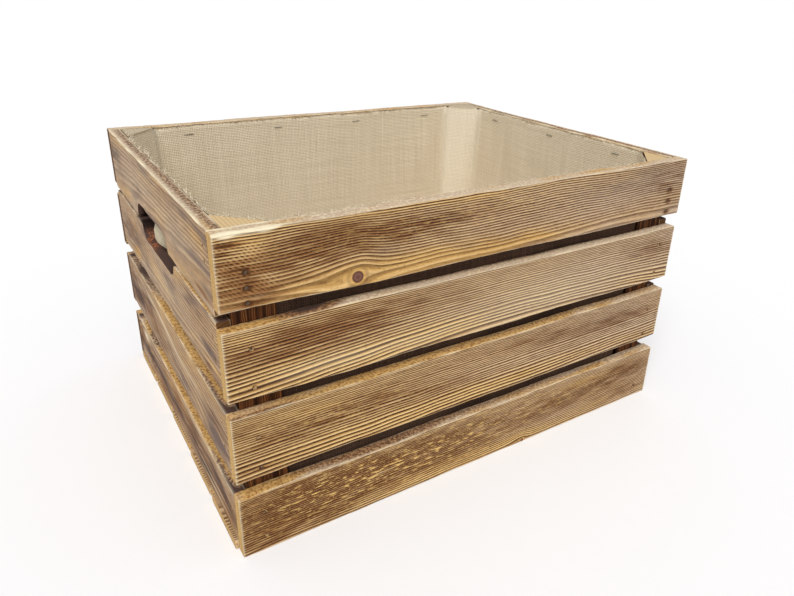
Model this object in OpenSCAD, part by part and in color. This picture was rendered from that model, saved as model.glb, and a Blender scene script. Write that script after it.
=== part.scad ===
// Slatted wooden kindling box: four boards high on every side, nailed to four
// triangular corner posts, with a slatted floor and a burlap liner inside.
// Millimetres. The origin is the middle of the underside, X runs along the
// long front, Y runs from the front to the rear, Z points up.

/* [Box] */
// Length of the box over the ends of the long slats
box_l = 480; // [400:1:600]
// Width of the box over the faces of the long slats
box_w = 378; // [300:1:420]

/* [Side boards] */
// Height of each side board as it stands on edge
board_h = 58; // [52:0.5:70]
// Thickness of the long front and rear slats
slat_t = 12; // [9:0.5:16]
// Thickness of the end boards
end_t = 11; // [9:0.5:16]
// Bevel that wear and brushing leave along the boards' edges
edge_wear = 0.8; // [0.3:0.1:1.5]
// Open gap between the lowest slat and the one above it
gap_low = 17; // [10:0.5:25]
// Open gap between the second and the third slat from below
gap_mid = 14; // [10:0.5:25]
// Open gap under the top slat
gap_top = 14; // [10:0.5:25]

/* [End boards] */
// Height of the top end board, the widest one
end_top_h = 63; // [58:0.5:70]
// Open gap under the top end board
end_gap_top = 4; // [2:0.5:12]
// Open gap between the two middle end boards
end_gap_mid = 18; // [10:0.5:25]
// Open gap above the lowest end board
end_gap_low = 19; // [10:0.5:25]

/* [Corner posts] */
// Distance from a post's right-angled corner to where its slanted face meets the walls
post_leg = 36; // [32:0.5:46]
// Width of the blunt edge at the two thin corners of a post
post_nose = 2; // [1:0.5:4]
// How far the posts stop below the top edges of the boards
post_drop = 1.5; // [0:0.5:6]

/* [Floor] */
// Thickness of the floor boards
floor_t = 9; // [7:0.5:14]
// Open gap between two floor boards
floor_gap = 6.5; // [3:0.5:12]
// How far each floor board stands out past the end boards, from the front one back
floor_over = [2.7, 2.1, 1.2, 0.8, 1.2];

/* [Hand slots] */
// Length of the hand slot over its round ends
hand_slot_l = 118; // [90:1:140]
// Height of the hand slot
hand_slot_h = 32; // [26:0.5:40]
// How far the slot's middle lies above the middle of the gap it is cut across
hand_slot_lift = 1; // [0:0.5:4]

/* [Nails] */
// Diameter of a nail's shank
nail_d = 1.6; // [1.2:0.1:2]
// Diameter of a nail's head
nail_head_d = 3.2; // [2.6:0.1:4]
// Thickness of a nail's head
nail_head_t = 0.8; // [0.5:0.1:1.2]
// Length of a nail under its head
nail_l = 28; // [24:0.5:30]
// Length of a nail's point
nail_point = 2.5; // [1.5:0.5:4]
// How deep the heads are driven below the wood
nail_sink = 0.5; // [0.2:0.1:1]
// Gap between a nail and the hole that it made
nail_fit = 0.02; // [0.01:0.01:0.1]
// Distance of the long slats' nails from the ends of the box
slat_nail_inset = 20.5; // [18:0.5:26]
// Distance of the end boards' nails from the front and rear of the box
end_nail_inset = 23.5; // [19:0.5:26]
// Distance between the two nails at each end of a floor board
floor_nail_pitch = 30; // [20:1:40]

/* [Liner] */
// Thickness of the burlap
liner_t = 1.2; // [0.8:0.1:2]
// Gap between the burlap and the wood behind it
liner_gap = 0.3; // [0.2:0.1:1]
// How far the burlap stops below the top edges of the boards
liner_drop = 2.5; // [2:0.5:15]

/* [Staples] */
// Width of a staple's crown over its legs
staple_w = 10; // [8:0.5:13]
// Diameter of the staple wire
staple_wire = 0.9; // [0.7:0.1:1.2]
// Length of a staple's legs from the face of the burlap
staple_leg = 8; // [6:0.5:9]
// Distance of the staples below the burlap's upper edge
staple_drop = 9; // [6:0.5:14]
// Distance from the outer staples of a wall to the corner strips of the liner
staple_inset = 35; // [15:1:50]

/* [Hidden] */
$fn = 48;

eps = 0.01;

// Heights of the long slats' lower edges, from the top one down.
slat_z = [3 * board_h + gap_low + gap_mid + gap_top,
          2 * board_h + gap_low + gap_mid,
          board_h + gap_low,
          0];
box_h = slat_z[0] + board_h;

// Heights of the end boards' upper and lower edges. The lowest one stands on the floor boards.
end_top_z = [box_h,
             box_h - end_top_h - end_gap_top,
             box_h - end_top_h - end_gap_top - board_h - end_gap_mid,
             box_h - end_top_h - end_gap_top - 2 * board_h - end_gap_mid - end_gap_low];
end_z = [end_top_z[0] - end_top_h, end_top_z[1] - board_h, end_top_z[2] - board_h, floor_t];

// Inner faces of the long slats and of the end boards.
inner_x = box_l / 2 - end_t;
inner_y = box_w / 2 - slat_t;

// Floor boards lie side by side between the long slats, the outer ones against them.
floor_count = 5;
floor_board_w = (2 * inner_y - (floor_count - 1) * floor_gap) / floor_count;
floor_pitch = floor_board_w + floor_gap;
function floor_y(i) = (i - (floor_count - 1) / 2) * floor_pitch;

// The hand slot is cut across the gap between the two upper end boards.
hand_slot_z = (end_top_z[1] + end_z[0]) / 2 + hand_slot_lift;

// Heights of the nails above the lower edge of the slat in their row, from the top row down.
// The two sets pass each other inside the posts, and the last row clears the floor's nails.
slat_nail_h = [[5, 16.5, 28], [8.5, 40.5], [7.5, 36], [14, 38.5]];
end_nail_h = [[32, 43], [26.5, 46], [20.5, 45], [33.5, 46]];

// Liner: the posts cut the corners off the inside, so its outline has eight sides.
liner_z = floor_t + liner_t;
liner_top = box_h - liner_drop;
post_top = box_h - post_drop;
staple_z = liner_top - staple_drop;
staple_count_long = 4;
staple_count_end = 3;

// Corners of the inside, set in from the wood by d: the first of each pair is on the
// end wall and the second on the long wall of the corner with signs sx and sy.
function inside_end(d, sx, sy) =
    [sx * (inner_x - d), sy * (inner_y - post_leg - d * (sqrt(2) - 1))];
function inside_long(d, sx, sy) =
    [sx * (inner_x - post_leg - d * (sqrt(2) - 1)), sy * (inner_y - d)];

// Board lying along X with its lower outer corner at the origin: l long, t thick, h high,
// bevelled along its four long edges.
module board(l, t, h) {
    rotate([90, 0, 90])
        linear_extrude(l, center = true)
            polygon([[edge_wear, 0], [t - edge_wear, 0], [t, edge_wear], [t, h - edge_wear],
                     [t - edge_wear, h], [edge_wear, h], [0, h - edge_wear], [0, edge_wear]]);
}

// Nail driven along +Z through a face at z = 0. The hole is the same shape grown by the fit,
// open to the face.
module nail_shape(grow) {
    r = nail_d / 2 + grow;
    translate([0, 0, nail_sink])
        cylinder(h = nail_head_t + grow, d = nail_head_d + 2 * grow);
    translate([0, 0, nail_sink + nail_head_t - eps])
        cylinder(h = nail_l - nail_point + eps, r = r);
    translate([0, 0, nail_sink + nail_head_t + nail_l - nail_point - eps])
        cylinder(h = nail_point + grow, r1 = r, r2 = 0.2 + grow);
}

module nail() nail_shape(0);

module nail_hole() {
    nail_shape(nail_fit);
    translate([0, 0, -eps])
        cylinder(h = nail_sink + 2 * eps, d = nail_head_d + 2 * nail_fit);
}

// Places its children at each nail of a front slat, pointing into the wood.
module at_slat_nails(row) {
    for (sx = [-1, 1], h = slat_nail_h[row])
        translate([sx * (box_l / 2 - slat_nail_inset), -box_w / 2, slat_z[row] + h])
            rotate([-90, 0, 0]) children();
}

// Places its children at each nail of a left end board, pointing into the wood.
module at_end_nails(row) {
    for (sy = [-1, 1], h = end_nail_h[row])
        translate([-box_l / 2, sy * (box_w / 2 - end_nail_inset), slat_z[row] + h])
            rotate([0, 90, 0]) children();
}

// Places its children at the nails of one floor board, pointing up.
module at_floor_nails(i) {
    for (sx = [-1, 1], side = [-1, 1])
        translate([sx * (box_l / 2 - end_t / 2), floor_y(i) + side * floor_nail_pitch / 2, 0])
            children();
}

// Repeats its children on the opposite side of the box.
module rear() rotate(180) children();

module slat(row) {
    color([0.62, 0.45, 0.25])
        difference() {
            translate([0, -box_w / 2, slat_z[row]]) board(box_l, slat_t, board_h);
            at_slat_nails(row) nail_hole();
            if (row == 0) at_staples_long() staple_legs(nail_fit);
        }
}

module hand_slot() {
    run = hand_slot_l - hand_slot_h;
    translate([-box_l / 2, 0, hand_slot_z])
        rotate([0, 90, 0])
            translate([0, 0, -1]) {
                translate([-hand_slot_h / 2, -run / 2, 0]) cube([hand_slot_h, run, end_t + 2]);
                for (sy = [-1, 1])
                    translate([0, sy * run / 2, 0]) cylinder(h = end_t + 2, d = hand_slot_h);
            }
}

module end_board(row) {
    color([0.56, 0.45, 0.33])
        difference() {
            translate([-box_l / 2, 0, end_z[row]])
                rotate(-90) board(2 * inner_y, end_t, end_top_z[row] - end_z[row]);
            at_end_nails(row) nail_hole();
            if (row < 2) hand_slot();
            if (row == 3) for (i = [0:floor_count - 1]) at_floor_nails(i) nail_hole();
            if (row == 0) at_staples_end() staple_legs(nail_fit);
        }
}

// Triangular post in the corner at -X -Y: its legs lie along the slats and the end boards.
module post_blank() {
    translate([-inner_x, -inner_y, floor_t])
        linear_extrude(post_top - floor_t)
            polygon([[0, 0], [post_leg - post_nose, 0], [post_leg - post_nose, post_nose],
                     [post_nose, post_leg - post_nose], [0, post_leg - post_nose]]);
}

// Post cut for the nails of both walls. The corner at -X -Y is the one that is drawn; the
// corner beside it is its mirror image.
module post(mirrored = false) {
    color([0.33, 0.23, 0.14])
        mirror([mirrored ? 1 : 0, 0, 0])
            difference() {
                post_blank();
                for (row = [0:3]) {
                    at_slat_nails(row) nail_hole();
                    at_end_nails(row) nail_hole();
                }
            }
}

module floor_board(i) {
    color([0.6, 0.47, 0.3])
        difference() {
            translate([0, floor_y(i) - floor_board_w / 2, 0])
                board(box_l + 2 * floor_over[i], floor_board_w, floor_t);
            at_floor_nails(i) nail_hole();
        }
}

module slat_nails() color([0.45, 0.43, 0.4]) for (row = [0:3]) at_slat_nails(row) nail();
module end_nails() color([0.45, 0.43, 0.4]) for (row = [0:3]) at_end_nails(row) nail();
module floor_nails()
    color([0.45, 0.43, 0.4]) for (i = [0:floor_count - 1]) at_floor_nails(i) nail();

// Flat strip of burlap standing between two corners of the outline, mitred at both.
module liner_strip(outer, inner) {
    color([0.66, 0.6, 0.42])
        translate([0, 0, liner_z])
            linear_extrude(liner_top - liner_z)
                polygon([outer[0], outer[1], inner[1], inner[0]]);
}

module liner_long() {
    d = liner_gap + liner_t;
    difference() {
        liner_strip([inside_long(liner_gap, -1, -1), inside_long(liner_gap, 1, -1)],
                    [inside_long(d, -1, -1), inside_long(d, 1, -1)]);
        at_staples_long() staple_legs(nail_fit);
    }
}

module liner_end() {
    d = liner_gap + liner_t;
    difference() {
        liner_strip([inside_end(liner_gap, -1, -1), inside_end(liner_gap, -1, 1)],
                    [inside_end(d, -1, -1), inside_end(d, -1, 1)]);
        at_staples_end() staple_legs(nail_fit);
    }
}

module liner_corner(sx, sy) {
    d = liner_gap + liner_t;
    liner_strip([inside_end(liner_gap, sx, sy), inside_long(liner_gap, sx, sy)],
                [inside_end(d, sx, sy), inside_long(d, sx, sy)]);
}

module liner_floor() {
    d = liner_gap;
    color([0.66, 0.6, 0.42])
        translate([0, 0, floor_t])
            linear_extrude(liner_t)
                polygon([inside_end(d, -1, -1), inside_long(d, -1, -1),
                         inside_long(d, 1, -1), inside_end(d, 1, -1),
                         inside_end(d, 1, 1), inside_long(d, 1, 1),
                         inside_long(d, -1, 1), inside_end(d, -1, 1)]);
}

// Legs of a staple, driven along +Z through a face at z = 0. Grown by the fit they are its holes.
module staple_legs(grow = 0) {
    for (side = [-1, 1])
        translate([side * (staple_w - staple_wire) / 2, 0, -staple_wire / 2])
            cylinder(h = staple_leg + staple_wire / 2 + grow, d = staple_wire + 2 * grow);
}

// Staple whose crown lies along X on a face at z = 0.
module staple() {
    crown = staple_w - staple_wire;
    staple_legs();
    translate([-crown / 2, 0, -staple_wire / 2]) {
        rotate([0, 90, 0]) cylinder(h = crown, d = staple_wire);
        for (x = [0, crown]) translate([x, 0, 0]) sphere(d = staple_wire);
    }
}

// Places its children at the staples of the front wall, pointing out through the burlap.
module at_staples_long() {
    reach = inner_x - post_leg - staple_inset;
    for (i = [0:staple_count_long - 1])
        translate([-reach + 2 * reach * i / (staple_count_long - 1),
                   -inner_y + liner_gap + liner_t, staple_z])
            rotate([90, 0, 0]) children();
}

// Places its children at the staples of the left wall, pointing out through the burlap.
module at_staples_end() {
    reach = inner_y - post_leg - staple_inset;
    for (i = [0:staple_count_end - 1])
        translate([-inner_x + liner_gap + liner_t,
                   -reach + 2 * reach * i / (staple_count_end - 1), staple_z])
            rotate([90, 0, -90]) children();
}

module liner_staples() {
    color([0.6, 0.6, 0.6])
        for (turn = [0, 180]) rotate(turn) {
            at_staples_long() staple();
            at_staples_end() staple();
        }
}

slat(0);  // front_slat_1
slat(1);  // front_slat_2
slat(2);  // front_slat_3
slat(3);  // front_slat_4
rear() slat(0);  // rear_slat_1
rear() slat(1);  // rear_slat_2
rear() slat(2);  // rear_slat_3
rear() slat(3);  // rear_slat_4
end_board(0);  // left_board_1
end_board(1);  // left_board_2
end_board(2);  // left_board_3
end_board(3);  // left_board_4
rear() end_board(0);  // right_board_1
rear() end_board(1);  // right_board_2
rear() end_board(2);  // right_board_3
rear() end_board(3);  // right_board_4
post();  // post_front_left
post(mirrored = true);  // post_front_right
rear() post(mirrored = true);  // post_rear_left
rear() post();  // post_rear_right
floor_board(0);  // floor_board_1
floor_board(1);  // floor_board_2
floor_board(2);  // floor_board_3
floor_board(3);  // floor_board_4
floor_board(4);  // floor_board_5
liner_floor();
liner_long();  // liner_front
rear() liner_long();  // liner_rear
liner_end();  // liner_left
rear() liner_end();  // liner_right
liner_corner(-1, -1);  // liner_corner_front_left
liner_corner(1, -1);  // liner_corner_front_right
liner_corner(-1, 1);  // liner_corner_rear_left
liner_corner(1, 1);  // liner_corner_rear_right
slat_nails();  // front_nails
rear() slat_nails();  // rear_nails
end_nails();  // left_nails
rear() end_nails();  // right_nails
floor_nails();
liner_staples();
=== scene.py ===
"""Kindling box of torched and brushed boards with a burlap liner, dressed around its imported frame.

Sizes inside this file are in millimetres until a mesh is written. A board is described in its
own directions: s runs along it, h up it and d inwards from its outer face.
"""

import math
import re
from types import SimpleNamespace

import bpy
import numpy as np
from bpy.props import FloatProperty, FloatVectorProperty, IntProperty, PointerProperty
from mathutils import Color, Matrix, Vector


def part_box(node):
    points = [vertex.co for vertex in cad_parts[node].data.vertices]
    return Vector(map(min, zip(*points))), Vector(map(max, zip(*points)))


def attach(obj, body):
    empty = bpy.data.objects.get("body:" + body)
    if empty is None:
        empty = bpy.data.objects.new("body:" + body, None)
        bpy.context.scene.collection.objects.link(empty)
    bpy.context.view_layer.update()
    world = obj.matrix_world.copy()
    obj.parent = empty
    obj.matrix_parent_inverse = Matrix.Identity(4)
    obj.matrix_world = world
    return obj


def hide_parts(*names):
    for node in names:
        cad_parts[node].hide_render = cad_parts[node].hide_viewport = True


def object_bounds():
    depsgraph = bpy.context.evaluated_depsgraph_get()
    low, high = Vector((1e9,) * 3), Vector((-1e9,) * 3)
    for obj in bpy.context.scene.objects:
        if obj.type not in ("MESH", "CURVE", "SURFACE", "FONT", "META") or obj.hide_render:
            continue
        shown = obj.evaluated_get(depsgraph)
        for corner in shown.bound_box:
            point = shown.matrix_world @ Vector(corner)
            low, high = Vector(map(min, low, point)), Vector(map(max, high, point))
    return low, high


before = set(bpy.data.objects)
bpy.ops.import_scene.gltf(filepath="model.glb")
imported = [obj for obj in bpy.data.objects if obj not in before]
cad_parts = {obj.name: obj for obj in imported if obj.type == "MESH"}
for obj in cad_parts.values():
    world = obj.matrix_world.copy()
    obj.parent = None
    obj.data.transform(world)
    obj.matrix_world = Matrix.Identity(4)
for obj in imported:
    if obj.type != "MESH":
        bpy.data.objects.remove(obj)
CAD_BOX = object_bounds()

bl_info = {
    "name": "Kindling box",
    "version": (1, 0, 0),
    "blender": (4, 5, 0),
    "location": "View3D > Sidebar > Kindling box",
    "description": "Builds the boards, posts, liner and studio of a wooden kindling box",
    "category": "Object",
}

MM = 0.001


def corners_mm(node):
    """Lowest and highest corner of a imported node, in millimetres."""
    low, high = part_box(node)
    return np.array(low) / MM, np.array(high) / MM


# ---- sizes from the frame

SLAT_ROWS = [corners_mm(f"front_slat_{row}") for row in (1, 2, 3, 4)]
END_ROWS = [corners_mm(f"left_board_{row}") for row in (1, 2, 3, 4)]
BOX_HALF_X, BOX_HALF_Y, BOX_TOP = SLAT_ROWS[0][1][0], CAD_BOX[1].y / MM, CAD_BOX[1].z / MM
SLAT_THICK = SLAT_ROWS[0][1][1] - SLAT_ROWS[0][0][1]
END_THICK = END_ROWS[0][1][0] - END_ROWS[0][0][0]
INNER_X, INNER_Y = BOX_HALF_X - END_THICK, BOX_HALF_Y - SLAT_THICK
POST_LOW, POST_HIGH = corners_mm("post_front_left")
FLOOR_TOP = corners_mm("floor_board_1")[1][2]
LINER_TOP = corners_mm("liner_front")[1][2]

# Sizes that the frame's corners don't give, as they are in the part's source.
EDGE_WEAR = 0.8
POST_LEG = 36.0
POST_NOSE = 2.0
HAND_SLOT_LENGTH, HAND_SLOT_HEIGHT, HAND_SLOT_LIFT = 118.0, 32.0, 1.0
HAND_SLOT_Z = (END_ROWS[1][1][2] + END_ROWS[0][0][2]) / 2 + HAND_SLOT_LIFT
SLAT_NAIL_INSET, END_NAIL_INSET = 20.5, 23.5
SLAT_NAIL_UP = [(5, 16.5, 28), (8.5, 40.5), (7.5, 36), (14, 38.5)]
END_NAIL_UP = [(32, 43), (26.5, 46), (20.5, 45), (33.5, 46)]
NAIL_HEAD = 3.2
FLOOR_NAIL_PITCH = 30.0
STAPLES_LONG, STAPLES_END = 4, 3
STAPLE_INSET, STAPLE_DROP = 35.0, 9.0

# Meshing: the inner face of a board has every eighth row of its outer face.
BACK_EVERY, DEPTH_ROWS = 8, 7
FLOOR_RELIEF = 0.2

# The hung cloth: its middle's distance from walls and floor, its bend at the floor, the rows of
# the flap over a post and how far it bulges into the left hand slot.
CLOTH_OFF, CLOTH_LIFT, FLOOR_BEND, FLAP_ROWS, SLOT_BULGE = 0.95, 0.75, 9.0, 4, 7.5
THREAD_RADIUS, THREAD_RINGS = 0.3, 5
RUST = (0.05, 0.025, 0.012, 1)

# The studio: half the floor's size and how far it lies below the box, in metres.
STUDIO_REACH, STUDIO_DROP = 60.0, 0.0004
LAMP_FROM = (-0.50, -0.66, 0.95)

# The photograph's size, focal length and principal point in pixels, the camera's place in metres,
# and its azimuth, elevation and roll in degrees.
PHOTO_WIDE, PHOTO_HIGH, PHOTO_FOCAL, PHOTO_MIDDLE = 794, 596, 657.5, (428.1, 276.0)
CAMERA_AT, CAMERA_TURN = (-0.3433, -0.5918, 0.4266), (-34.01, 23.70, 2.13)

# Where each wall stands: a point of its outer face, and its s, h and d directions.
WALLS = {
    "front": ((0, -BOX_HALF_Y, 0), (1, 0, 0), (0, 0, 1), (0, 1, 0)),
    "rear": ((0, BOX_HALF_Y, 0), (-1, 0, 0), (0, 0, 1), (0, -1, 0)),
    "left": ((-BOX_HALF_X, 0, 0), (0, -1, 0), (0, 0, 1), (1, 0, 0)),
    "right": ((BOX_HALF_X, 0, 0), (0, 1, 0), (0, 0, 1), (-1, 0, 0)),
    "underside": ((0, 0, 0), (1, 0, 0), (0, -1, 0), (0, 0, 1)),
}

# ---- each board's own wood
#
# pith    how far the centre of the tree lies behind the outer face
# below   how far it lies below the board's lower edge
# ring    width of a growth ring
# taper   how much the pith comes closer per millimetre along the board
# sway    how far the lines wander up and down
# knots   place along and up the board, radius, and 1 where the knot itself shows
# burn    torched patches: place along and up, half length, half height, strength and slant
# gold    golden patches, slate the purple-grey ones, both written like burn
# top     golden places of the rough upper edge, dusk its dark ones (scorch, and painted shade at the rear of the slats): along, depth, sizes, strength
# pale    greyed wood: amount at the start and at the end of the board
# hatch   length of the cross-hatched saw marks at the start
# rim     how much the lower and the upper edge of the face are rubbed bare
# wane    how much more the upper edge is rubbed bare at the start of the board
# slot_shift  how far its half of the hand slot was cut off the middle
# soft    how much fainter the lines are near the lower edge
# bow     the lines rise over a place: where, how far to each side and by how much
# crowd   how many more rings lie in the board's upper part
# stain   how dark the wood is round the nails
# flecks  places with golden specks, written like burn
# tilt    how far the lower and the upper edge rise at the start and fall at the end
# ends    how dark the two sawn ends are
# rubbed  places rubbed paler, written like burn
# shut    how dark an end board's upper edge is painted near its ends, where the slats cover it: painted shade

PLAIN_BOARD = dict(
    pith=35, below=10, ring=1.7, crowd=0, taper=0.0, sway=0.8, seed=1, knots=[], bow=(0, 100, 0), soft=0,
    hatch=0, wane=0, rim=(0.3, 0.45), pale=(0.3, 0.3), tilt=(0, 0), ends=(0, 0), stain=0.5, slot_shift=0,
    end_painted_shade=1.8, top=[(0, 5, 400, 30, 0.6)], dusk=[], gold=[], slate=[], flecks=[], rubbed=[], burn=[])

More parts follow.
